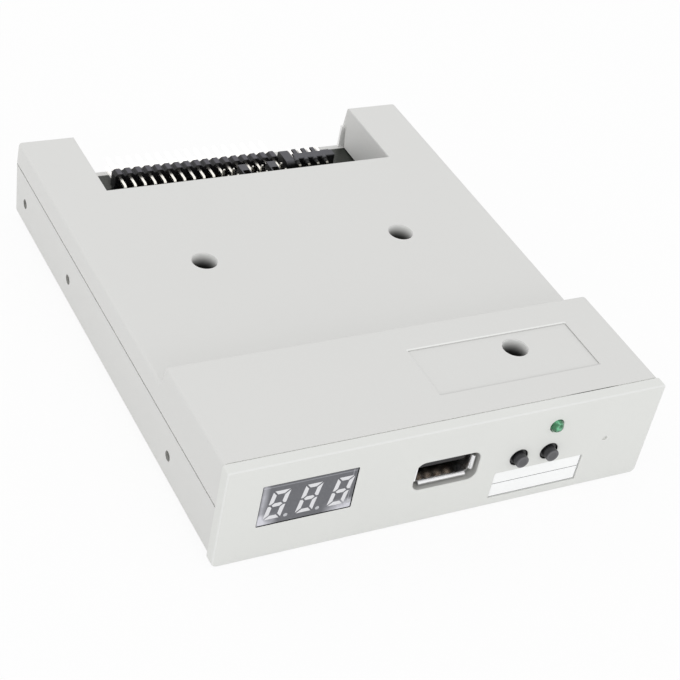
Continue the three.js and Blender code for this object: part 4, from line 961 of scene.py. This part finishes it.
plated_steel = metal("plated_steel", (205, 206, 208), 0.28, 0.1)
for name in well_names:
    low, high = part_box(name)
    spot = Vector(middle_of(name, 0, 1))
    seat = high.z - head_height
    profile = [
        (low.z, 0.6 * mm),
        (low.z + 0.9 * mm, shank_radius),
        (seat, shank_radius),
        (seat, head_radius - 0.1 * mm),
        (seat + 0.1 * mm, head_radius),
    ]
    for down, out in quarter(8):
        profile.append((high.z - 1 * mm * out, head_radius - 1.5 * mm * down))
    screw = turned(spot, "z", profile, name.replace("case_screw", "screw"), sides=40)
    slots = []
    for turn in (cross_turn, cross_turn + pi / 2):
        rings = []
        for level, length, width in ((-1.1, 0.5, 0.28), (0.3, 1.5, 0.4)):
            outline = rectangle(-length, length, -width, width)
            corners = [Vector(corner[:2]) * mm for corner in outline]
            line = [spot + Matrix.Rotation(turn, 2) @ corner for corner in corners]
            rings.append(laid(line, "z", high.z + level * mm))
        slots.append(lofted("tool", rings))
    carve(screw, *slots)
    finished(screw, plated_steel, "drive", "plated_steel", name, angle=30)


# Main board: a glass-fibre sheet under very dark green solder mask, whose tail reaches into the
# bay. A tinned ring lies round each hole that a pin goes through.
pitch = 2.54 * mm
board_low, board_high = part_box("main_board")
board_corner = 1 * mm
tail_half = 37.5 * mm
shoulder = bay_front - 2.7 * mm
outline = [
    (board_high.x, board_low.y, board_corner),
    (board_high.x, shoulder, board_corner),
    (tail_half, shoulder),
    (tail_half, board_high.y, board_corner),
]
outline += [(-x, y, *rest) for x, y, *rest in reversed(outline)]
board = swept(outline, "z", board_low.z, board_top, "board_sheet")
solder_mask, nodes, surface = paint("solder_mask", (16, 19, 13), 0.35)
traces = nodes.add(
    "ShaderNodeTexBrick",
    {"offset": 0.5, "squash": 0.6, "squash_frequency": 3},
    {
        "Vector": nodes.add("ShaderNodeTexCoord", output="Object"),
        "Scale": 300.0,
        "Color1": (0, 0, 0, 1),
        "Color2": (0.4, 0.4, 0.4, 1),
        "Mortar": (1, 1, 1, 1),
        "Mortar Size": 0.04,
    },
    output="Color",
)
faced(nodes, surface, blend(nodes, traces, (15, 18, 13), (30, 36, 24)), 0.28, 0.2, 300)
bump(nodes, surface, traces, 0.2)
finished(board, solder_mask, "drive", "circuit_board", "main_board")


def columns(middle, count):
    """The places across of a row of pins."""
    return [middle + pitch * (number - (count - 1) / 2) for number in range(count)]


power_x = 22.5 * mm
disk_columns = columns(-7.9 * mm, 17)
jumper_columns = columns(2.6 * mm, 7)
power_columns = columns(power_x, 4)
header_front = face + 113 * mm
upper_leg = header_front - 3.6 * mm
lower_leg = header_front - 1.3 * mm
jumper_rows = [face + y * mm for y in (102.78, 105.32)]
power_leg = face + 110.5 * mm
pad_profile = ((0.01, 0.45), (0.01, 0.82), (0.05, 0.8), (0.12, 0.45))
pad_places = [(x, y) for x in disk_columns for y in (upper_leg, lower_leg)]
pad_places += [(x, y) for x in jumper_columns for y in jumper_rows]
pad_places += [(x, power_leg) for x in power_columns]
pads_mesh = bmesh.new()
for spot in pad_places:
    rings = []
    for level, radius in pad_profile:
        rings.append(laid(circle(spot, radius * mm, 16), "z", board_top + level * mm))
    skin(pads_mesh, rings, closed=True)
pads = piece("board_solder_rings", pads_mesh)
solder = metal("tin_solder", (198, 199, 200), 0.25, 0.2)
finished(pads, solder, "drive", "plated_steel")


# Disk header: two rows of square plated pins, bent down into the board behind a black plastic
# strip of chamfered units.
def bar(mesh, path, halves):
    """A square wire along points that lie in one plane square to X. Halves are half widths."""
    rings = []
    across = Vector((1, 0, 0))
    for number, (point, half) in enumerate(zip(path, halves)):
        before = path[max(number - 1, 0)]
        after = path[min(number + 1, len(path) - 1)]
        out = across.cross((after - before).normalized())
        stretch = 1.0
        if 0 < number < len(path) - 1:
            stretch = 1 / max(cos((point - before).angle(after - point) / 2), 0.5)
        ring = [(-1, -1), (1, -1), (1, 1), (-1, 1)]
        rings.append([point + half * (a * across + b * stretch * out) for a, b in ring])
    skin(mesh, rings)


def elbow(mesh, x, level, end, leg, foot, half, taper=0.5 * mm, bend=0.5 * mm):
    """A wire that lies along Y at a level, tapers at its end, and bends down at the leg."""
    turn = 1 if end > leg else -1
    side_view = [(end, level), (end - turn * taper, level)]
    side_view += [(leg + turn * bend * out, level - bend * down) for down, out in quarter(6)]
    side_view += [(leg, foot + taper), (leg, foot)]
    halves = [half / 2] + [half] * (len(side_view) - 2) + [half / 2]
    bar(mesh, [Vector((x, y, z)) for y, z in side_view], halves)


def unit_strip(places, base, height, chamfer):
    """The front view of a strip of units, each with chamfered corners."""
    half = pitch / 2
    top = base + height
    lower, upper = [], []
    for x in places:
        left, right = x - half, x + half
        lower += [(left, base + chamfer), (left + chamfer, base), (right - chamfer, base)]
        upper += [(left, top - chamfer), (left + chamfer, top), (right - chamfer, top)]
    last = places[-1] + half
    lower += [(last, base + chamfer), (last, top - chamfer)]
    return lower + list(reversed(upper))


def bevelled(target, width):
    change = target.modifiers.new("edge_break", "BEVEL")
    change.width = width
    change.segments = 2
    change.limit_method = "ANGLE"
    change.angle_limit = radians(30)
    change.use_clamp_overlap = False


def dark_moulding_painted_top_light(name, colour, roughness, slope, side, top):
    """Dark moulded plastic with a painted highlight: its upward faces are paler, from a share of
    the slope on.
    """
    material, nodes, surface = paint(name, colour, roughness)
    normal = nodes.add("ShaderNodeNewGeometry", output="Normal")
    rise = nodes.add("ShaderNodeSeparateXYZ", sockets={0: normal}, output=2)
    colours = blend(nodes, fade(nodes, rise, *slope), side, top)
    faced(nodes, surface, colours, min(roughness, 0.44) - 0.02, 0.1, 900)
    bump(nodes, surface, noise(nodes, 3200), 0.1)
    return material


def plating_with_painted_light(name, front, rear, top, foot, pale=(255, 252, 244)):
    """Gold over nickel, with painted light and shade: pale on the pins' level stretch, darkened as
    painted shade behind and below, and whiter, less metallic and faintly glowing as painted light
    where the pins stand out behind the header.
    """
    material, nodes, surface = paint(name, (255, 252, 244), 0.3, **{"Emission Strength": 0.35})
    lower = fade(nodes, along_axis(nodes, 2), top, foot)
    outside = fade(nodes, along_axis(nodes, 1), front, rear)
    shades = blend(nodes, lower, pale, (66, 58, 44))
    faced(nodes, surface, blend(nodes, outside, shades, (255, 254, 250)), 0.26, 0.1, 400, 3)
    nodes.join(1 - 0.6 * outside, surface["Metallic"])
    nodes.join(blend(nodes, outside, (0, 0, 0), (255, 250, 246)), surface["Emission Color"])
    bump(nodes, surface, noise(nodes, 2500), 0.05)
    return material


pin_half = 0.32 * mm
pin_foot = board_low.z - 1.4 * mm
strip_base = board_top + 0.05 * mm
header_rear = header_front + pitch
header_end = case_rear - 1.3 * mm
upper_pin = 12.86 * mm
lower_pin = 10.32 * mm
outline = unit_strip(disk_columns, strip_base, 2 * pitch, 0.68 * mm)
strip = swept(outline, "y", header_front, header_rear, "header_strip")
bevelled(strip, 0.12 * mm)
black_plastic = dark_moulding_painted_top_light(
    "black_plastic", (28, 28, 31), 0.42, (0.8, 0.99), (17, 16, 19), (74, 72, 80)
)
finished(strip, black_plastic, "drive", "black_plastic", "disk_header")
pins_mesh = bmesh.new()
for x in disk_columns:
    for level, leg in ((upper_pin, upper_leg), (lower_pin, lower_leg)):
        elbow(pins_mesh, x, level, header_end, leg, pin_foot, pin_half)
pins = piece("header_pins", pins_mesh)
header_gold = plating_with_painted_light("header_plating_painted_light", header_front, header_rear, 12.4 * mm, 11.6 * mm)
finished(pins, header_gold, "drive", "plated_steel")


# Jumper header: two rows of seven upright pins in a low black strip. Two dark grey caps push onto
# a pair of pins each. A window in each cap's top shows the front pin, and a folded brass clip
# inside each of its holes grips the pin.
strip_low = jumper_rows[0] - pitch / 2
strip_high = jumper_rows[1] + pitch / 2
outline = unit_strip(jumper_columns, strip_base, pitch, 0.4 * mm)
strip = swept(outline, "y", strip_low, strip_high, "jumper_strip")
bevelled(strip, 0.1 * mm)
finished(strip, black_plastic, "drive", "black_plastic", "jumper_header")
pin_top = board_top + 8.55 * mm
capped_drop = 0.7 * mm
capped = [middle_of("jumper_cap_" + side, 0, 1)[0] for side in ("left", "right")]
pins_mesh = bmesh.new()
for x in jumper_columns:
    tip = pin_top - (capped_drop if min(abs(x - middle) for middle in capped) < pitch / 2 else 0)
    levels = (pin_foot, pin_foot + 0.4 * mm, tip - 0.5 * mm, tip)
    halves = [pin_half / 2, pin_half, pin_half, pin_half / 2]
    for y in jumper_rows:
        bar(pins_mesh, [Vector((x, y, level)) for level in levels], halves)
pins = piece("jumper_pins", pins_mesh)
finished(pins, metal("pin_plating", (255, 252, 244), 0.3, 0.05), "drive", "plated_steel")

cap_hole = (1.3 * mm, 1.3 * mm)
cap_top = 0.5 * mm
window_width = 1.7 * mm
window_share = 0.45  # of the cap's length
clip_profile = ((0.6, 1.24), (4.9, 1.24), (5.2, 1.3), (5.2, 1.14), (4.9, 1.04), (0.6, 1.04))
grey_plastic = dark_moulding_painted_top_light(
    "grey_plastic", (50, 50, 55), 0.45, (0.6, 0.98), (22, 22, 24), (76, 76, 82)
)
clip_brass = metal("clip_brass", (214, 178, 104), 0.3, 0.1)
for side in ("left", "right"):
    name = "jumper_cap_" + side
    low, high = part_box(name)
    middle = middle_of(name, 0, 1)
    size = (high.x - low.x, high.y - low.y)
    profile = [
        (low.z, -0.12 * mm),
        (low.z + 0.12 * mm, 0),
        (high.z - 0.2 * mm, 0),
        (high.z - 0.06 * mm, -0.06 * mm),
        (high.z, -0.2 * mm),
    ]
    cap = boxed("cap_" + side, middle, size, 0.3 * mm, "z", profile)
    holes = []
    clip_mesh = bmesh.new()
    for y in jumper_rows:
        spot = (middle[0], y)
        depth = [(low.z - past, 0), (high.z - cap_top, 0)]
        holes.append(boxed("tool", spot, cap_hole, 0.1 * mm, "z", depth))
        rings = []
        for level, wide in clip_profile:
            line = rounded_box(spot, (wide * mm, wide * mm), 0.15 * mm)
            rings.append(laid(line, "z", low.z + level * mm))
        skin(clip_mesh, rings, closed=True)
    notch = size[1] * window_share
    spot = (middle[0], low.y + notch / 2 + 0.15 * mm)
    depth = [(high.z - 1.6 * mm, 0), (high.z + past, 0)]
    holes.append(boxed("tool", spot, (window_width, notch), 0.2 * mm, "z", depth))
    carve(cap, *holes)
    finished(cap, grey_plastic, side + "_jumper", "grey_plastic", name)
    clip = piece("cap_clip_" + side, clip_mesh)
    finished(clip, clip_brass, side + "_jumper", "contact_gold")


# Power connector: an open housing of the same dark grey plastic. Fingers stand between its four
# bent pins, a hood and a sleeve go round each pin, and two uneven cheeks guide the plug. The
# sleeves are painted near-black as shade.
power_front = face + 112.6 * mm
power_rear = power_front + 4.7 * mm
power_pin_level = board_top + 3.25 * mm
power_wall = 2.4 * mm
power_top = strip_base + 3.95 * mm
outer = 6.85 * mm
inner = 4.45 * mm
cheek_corner = 0.4 * mm
finger_half = 0.55 * mm
sleeve_end = power_front - 0.7 * mm
outline = [
    (power_front, strip_base),
    (power_front + power_wall, strip_base),
    (power_front + power_wall, power_top, 0.2 * mm),
    (power_front, power_top, 0.35 * mm),
]
ends = (power_x - inner + 0.35 * mm, power_x + outer)
housing = swept(outline, "x", *ends, "power_housing", 4)
shelf = (strip_base + 0.6 * mm, strip_base + 1.6 * mm)
parts = [block((power_x - outer, power_x + outer), (power_front, power_rear), shelf)]
for side, height, ahead, behind in ((-1, 3.65 * mm, 1 * mm, 0), (1, 3.2 * mm, 0, 0.7 * mm)):
    near, far = power_front - ahead, power_rear - behind
    top = strip_base + height
    cheek = [
        (near, strip_base),
        (far, strip_base, 0.3 * mm),
        (far, top - cheek_corner, 0.15 * mm),
        (far - cheek_corner, top, 0.15 * mm),
        (near, top, 0.2 * mm + ahead),
    ]
    ends = sorted((power_x + side * inner, power_x + side * outer))
    parts.append(swept(cheek, "x", *ends, steps=4))
for before, after in zip(power_columns, power_columns[1:]):
    x = (before + after) / 2
    height = (strip_base + 0.6 * mm, strip_base + 3.5 * mm)
    finger = rectangle(x - finger_half, x + finger_half, *height, 0.12 * mm)
    parts.append(swept(finger, "y", power_front + 0.3 * mm, power_front + 4.8 * mm, steps=3))
fuse(housing, *parts)
hood = [
    (sleeve_end, 0.6 * mm),
    (power_front - 0.5 * mm, 0.8 * mm),
    (power_front + 1 * mm, 0.8 * mm),
]
sleeve = [(power_leg + 0.35 * mm, 0.5 * mm), (power_front - 0.3 * mm, 0.55 * mm)]
pins_mesh = bmesh.new()
for x in power_columns:
    elbow(pins_mesh, x, power_pin_level, power_front + 5.4 * mm, power_leg, pin_foot, pin_half)
for profile in (hood, sleeve):
    spots = [(x, power_pin_level) for x in power_columns]
    fuse(housing, *[turned(spot, "y", profile, sides=24) for spot in spots])
finished(housing, grey_plastic, "drive", "grey_plastic", "power_connector")


def on_sleeve(centre, normal):
    return centre.y < sleeve_end - 0.02 * mm and abs(centre.x - power_x) < inner


# Painted shade: the sleeves are near-black.
lined(housing, moulded("sleeve_painted_shade", (14, 14, 15), 0.6, 0.05, 1), on_sleeve)
pins = piece("power_pins", pins_mesh)
shaded = (power_rear - 2.3 * mm, 12.4 * mm, 12 * mm)
power_gold = plating_with_painted_light("power_plating_painted_light", power_front, *shaded, (150, 147, 140))
finished(pins, power_gold, "drive", "plated_steel")


# Display: three seven-bar figures with points, moulded in milky resin and set flush into a grey
# face. Painted reflections make the face paler along its left edge and in its lower corners, with
# thin pale lines near its right and upper edges.
figure_half = 1.9 * mm
figure_rise = 3.7 * mm
figure_pitch = 6.95 * mm
stroke = 1 * mm
mitre = 0.21 * mm
slant = 0.19
face_level = display_low.y
edge_break = 0.08 * mm
figure_places = [display_middle[0] + 0.35 * mm + figure_pitch * (i - 1) for i in range(3)]
figure_level = display_middle[1] - 0.22 * mm
points = []
for place in figure_places:
    points.append(Vector((place + 2.35 * mm, figure_level - figure_rise + 0.3 * mm)))
point_radius = 0.48 * mm
profile = [
    (face_level, -edge_break),
    (face_level + edge_break, 0),
    (face_level + (display_high.y - face_level), 0),
]
face_panel = boxed("display_panel", display_middle, display_size, 0.12 * mm, "y", profile)


def bar_lines(inset):
    """The outlines of a figure's seven bars about its middle, each set in all round."""
    w, h, s = figure_half, figure_rise, stroke
    gap = mitre + inset * sqrt(2)
    top = [
        (-w + inset + gap, h - inset),
        (w - inset - gap, h - inset),
        (w - s + inset - gap, h - s + inset),
        (-w + s - inset + gap, h - s + inset),
    ]
    right = [
        (w - inset, h - inset - gap),
        (w - inset, gap),
        (w - s / 2, gap),
        (w - s + inset, s / 2 + gap),
        (w - s + inset, h - s + inset - gap),
    ]
    middle = [
        (-w + s / 2 + gap, 0),
        (-w + s + gap, -s / 2 + inset),
        (w - s - gap, -s / 2 + inset),
        (w - s / 2 - gap, 0),
        (w - s - gap, s / 2 - inset),
        (-w + s + gap, s / 2 - inset),
    ]
    bars = [top, [(x, -z) for x, z in top], right, [(-x, z) for x, z in right]]
    bars += [[(x, -z) for x, z in right], [(-x, -z) for x, z in right], middle]
    return [[(x + slant * z, z) for x, z in line] for line in bars]


resin_mesh = bmesh.new()
recesses = bmesh.new()
for place, point in zip(figure_places, points):
    for inset, mesh, depths in ((0, recesses, (-0.5, 0.6)), (0.015 * mm, resin_mesh, (0.03, 1.5))):
        lines = [[(place + x, figure_level + z) for x, z in line] for line in bar_lines(inset)]
        lines.append(circle(point, point_radius - inset, 24))
        for line in lines:
            skin(mesh, [laid(line, "y", face_level + depth * mm) for depth in depths])
carve(face_panel, piece("tool", recesses))
panel_grey, nodes, surface = paint("display_face", (97, 98, 103), 0.4)
across, level = along_axis(nodes, 0), along_axis(nodes, 2)


def nearness(value, place, reach):
    """1 at a place, falling to nothing at a reach from it."""
    away = nodes.add("ShaderNodeMath", {"operation": "ABSOLUTE"}, {0: value - place})
    return fade(nodes, away, reach, 0.0)


# Painted reflections: pale along the left edge, in the lower corners and in thin lines near the
# right and upper edges.
left_edge = nearness(across, display_low.x + 0.5 * mm, 1.2 * mm)
painted_reflections = left_edge * (0.35 + 0.4 * noise(nodes, 500))
for x, wide, high in ((display_low.x, 4.5 * mm, 3.2 * mm), (display_high.x, 6.5 * mm, 3 * mm)):
    corner = nearness(across, x, wide) * nearness(level, display_low.z, high)
    painted_reflections = painted_reflections + 1.6 * corner * (0.4 + 1.2 * noise(nodes, 900, 3))
for value, spot in ((across, display_high.x - 0.9 * mm), (level, display_high.z - 0.55 * mm)):
    painted_reflections = painted_reflections + 0.35 * nearness(value, spot, 0.15 * mm)
painted_reflections = nodes.add("ShaderNodeMath", {"operation": "MINIMUM"}, {0: painted_reflections, 1: 1.0})
speckle = blend(nodes, noise(nodes, 2400), (88, 89, 94), (106, 107, 112))
faced(nodes, surface, blend(nodes, painted_reflections, speckle, (214, 214, 222)), 0.32, 0.12, 500)
bump(nodes, surface, noise(nodes, 700), 0.1, 0.03 * mm)
finished(face_panel, panel_grey, "drive", "display_face", "display_shell")
figures = piece("display_figures", resin_mesh)
resin = moulded("display_resin", (226, 226, 229), 0.3, 0.02, 2)
finished(figures, resin, "drive", "display_resin", "display_resin")


def on_point(centre, normal):
    return min((centre.xz - point).length for point in points) < point_radius + 0.07 * mm


lined(figures, moulded("dot_resin", (192, 193, 197), 0.35, 0.02, 3), on_point)


# USB socket: a folded tin-plated steel shell with four flared lips, a black tongue in its upper
# half and four gilt contact springs under the tongue.
mouth = face + 1 * mm
usb_rear = mouth + 14 * mm
usb_x, usb_z = usb_middle
half_wide, half_high = usb_size[0] / 2, usb_size[1] / 2
metal_sheet = 0.35 * mm
tube_front = mouth + 0.8 * mm
lip_length = 0.9 * mm
lip_flare = 0.4 * mm
lip_short = 1 * mm  # by which a lip stops before the shell's corner
profile = [(tube_front, 0), (usb_rear, 0), (usb_rear, -metal_sheet), (tube_front, -metal_sheet)]
shell = boxed("usb_tube", usb_middle, usb_size, 0.6 * mm, "y", profile, closed=True)
lips = []
for axis, apart, centre, reach in (
    ("x", half_high, usb_x, half_wide - lip_short),
    ("z", half_wide, usb_z, half_high - lip_short),
):
    shares = [step / 6 for step in range(7)]
    line = [(mouth + lip_length * (1 - share), apart + lip_flare * share**2) for share in shares]
    line += [(y, out - metal_sheet) for y, out in reversed(line)]
    for side in (-1, 1):
        if axis == "x":
            spots = [(y, usb_z + side * out) for y, out in line]
        else:
            spots = [(usb_x + side * out, y) for y, out in line]
        lips.append(swept(spots, axis, centre - reach, centre + reach))
for side in (-1, 1):
    edge = usb_x + side * (half_wide - metal_sheet / 2)
    ends = (edge - metal_sheet / 2, edge + metal_sheet / 2)
    for front, rear, foot in ((7, 9, strip_base), (7.4, 8.6, pin_foot)):
        lips.append(block(ends, (mouth + front * mm, mouth + rear * mm), (foot, usb_z)))
fuse(shell, *lips)
shell_tin = metal("shell_tin", (252, 252, 253), 0.24, 0.04)
finished(shell, shell_tin, "drive", "plated_steel", "usb_shell", angle=30)

tongue_low = 13.2 * mm
tongue_high = tongue_low + 1.9 * mm
tongue_front = mouth + 1.5 * mm
tongue_rear = usb_rear - 0.4 * mm
tongue_half = 5.5 * mm
plug_size = [length - 0.8 * mm for length in usb_size]
outline = [
    (tongue_front, tongue_low),
    (tongue_rear, tongue_low),
    (tongue_rear, tongue_high),
    (tongue_front + 0.35 * mm, tongue_high, 0.2 * mm),
    (tongue_front, tongue_high - 0.35 * mm, 0.1 * mm),
]
holder = swept(outline, "x", usb_x - tongue_half, usb_x + tongue_half, "usb_tongue_bar")
plug_ends = [(usb_rear - 3.6 * mm, 0), (tongue_rear, 0)]
fuse(holder, boxed("tool", usb_middle, plug_size, 0.35 * mm, "y", plug_ends))
bevelled(holder, 0.08 * mm)
finished(holder, black_plastic, "drive", "black_plastic", "usb_tongue")
# Painted light and shade: the contacts glow faintly, carry painted glints, and are painted darker
# further inside the shell.
contact_gold, nodes, surface = paint(
    "contact_gold", (240, 212, 150), 0.35, **{"Metallic": 1.0, "Emission Strength": 0.5}
)
deep = fade(nodes, along_axis(nodes, 1), tongue_front + 1.6 * mm, tongue_front + 3 * mm)
spots = fade(nodes, noise(nodes, 2300), 0.47, 0.6)
shades = blend(nodes, spots, (120, 92, 62), (255, 240, 222))
glints = blend(nodes, spots, (20, 14, 8), (214, 196, 180))
faced(nodes, surface, blend(nodes, deep, shades, (60, 44, 28)), 0.3, 0.2, 800)
nodes.join(blend(nodes, deep, glints, (8, 6, 4)), surface["Emission Color"])


# Pieces that keep their own shape from the frame: contact springs, switches, the display's
# upright board and pins, and the chips and cans on the main board.
chip_resin = moulded("chip_resin", (30, 30, 32), 0.55, 0.2, 2)
for material, names in (
    (contact_gold, ("usb_contact_1", "usb_contact_2", "usb_contact_3", "usb_contact_4")),
    (chip_resin, ("processor_chip", "driver_chip", "voltage_regulator")),
    (plated_steel, ("clock_crystal", "filter_capacitor_1", "filter_capacitor_2")),
    (plated_steel, ("left_switch_plate", "right_switch_plate")),
    (black_plastic, ("left_switch_body", "right_switch_body", "display_link")),
    (solder_mask, ("display_board",)),
):
    for name in names:
        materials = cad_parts[name].data.materials
        materials.clear()
        materials.append(material)


# Push buttons: two turned black plungers that stand proud of the bezel. Each carries a collar
# that the switch's steel plate holds back.
stem_radius = 1.48 * mm
stem_round = 0.15 * mm
collar_front = face + 0.35 * mm
collar_rear = face + 3.3 * mm
collar_reach = 0.5 * mm
flange_reach = 0.47 * mm
flange = 0.6 * mm
dish = 0.1 * mm
# Painted light and shade on the plungers: lighter on their end faces and near-black inside the
# bezel's holes.
stem_black, nodes, surface = paint("stem_black", (66, 66, 70), 0.4)
depth = along_axis(nodes, 1)
stem_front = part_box("left_button_stem")[0].y
lit_end_face = fade(nodes, depth, stem_front + 0.3 * mm, stem_front)
inside = fade(nodes, depth, face - 0.5 * mm, face + 0.2 * mm)
shades = blend(nodes, lit_end_face, (50, 50, 53), (92, 92, 95))
faced(nodes, surface, blend(nodes, inside, shades, (20, 20, 22)), 0.36, 0.1, 900)
bump(nodes, surface, noise(nodes, 3200), 0.08)
for side in ("left", "right"):
    name = side + "_button_stem"
    low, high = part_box(name)
    profile = [(low.y + dish, 0.85 * mm), (low.y, 1 * mm), (low.y, stem_radius - stem_round)]
    for down, out in quarter(6)[1:]:
        profile.append((low.y + stem_round * down, stem_radius - stem_round * out))
    profile += [
        (collar_front, stem_radius),
        (collar_front, stem_radius + collar_reach - 0.08 * mm),
        (collar_front + 0.08 * mm, stem_radius + collar_reach),
        (collar_rear, stem_radius + collar_reach),
        (collar_rear, stem_radius),
        (high.y - flange, stem_radius),
        (high.y - flange, stem_radius + flange_reach),
        (high.y, stem_radius + flange_reach),
    ]
    stem = turned(middle_of(name, 0, 2), "y", profile, side + "_plunger")
    finished(stem, stem_black, side + "_button", "black_plastic", name)


# Status light: a green-tinted resin dome on a collar, with two bent leads down to the board.
# It sits in the bezel's hole from behind.
dome_radius = 1.5 * mm
dome_collar = 1.8 * mm
dome_foot = face + 3.3 * mm
lead_half = 0.25 * mm
lead_apart = 1.27 * mm
lead_leg = face + 9.8 * mm
profile = []
for down, out in quarter(12)[1:]:
    profile.append((lamp_box[0].y + dome_radius * down, dome_radius * (1 - out)))
profile += [
    (dome_foot, dome_radius),
    (dome_foot, dome_collar),
    (dome_foot + 0.9 * mm, dome_collar),
]
dome = turned(lamp_spot, "y", profile, "status_dome")
green_lens, nodes, surface = paint(
    "green_lens", (84, 172, 122), 0.12, **{"Coat Weight": 0.6, "Coat Roughness": 0.05}
)
# Painted light and shade in the dome: noise glints, and a darker rim where it faces away.
facing = nodes.add("ShaderNodeLayerWeight", sockets={"Blend": 0.45}, output="Facing")
painted_glints = fade(nodes, noise(nodes, 1100), 0.4, 0.62)
depths = blend(nodes, painted_glints, (22, 112, 64), (120, 210, 160))
nodes.join(blend(nodes, facing, depths, (14, 66, 38)), surface["Base Color"])
finished(dome, green_lens, "drive", "green_lens", "status_led")
leads_mesh = bmesh.new()
for side in (-1, 1):
    x = lamp_spot[0] + side * lead_apart
    start = dome_foot + 0.5 * mm
    elbow(leads_mesh, x, lamp_spot[1], start, lead_leg, pin_foot, lead_half, 0.1 * mm)
leads = piece("status_leads", leads_mesh)
finished(leads, solder, "drive", "plated_steel")

low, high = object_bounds()
sizes = {"cad": [list(cad_low), list(cad_high)], "visual": [list(low), list(high)]}
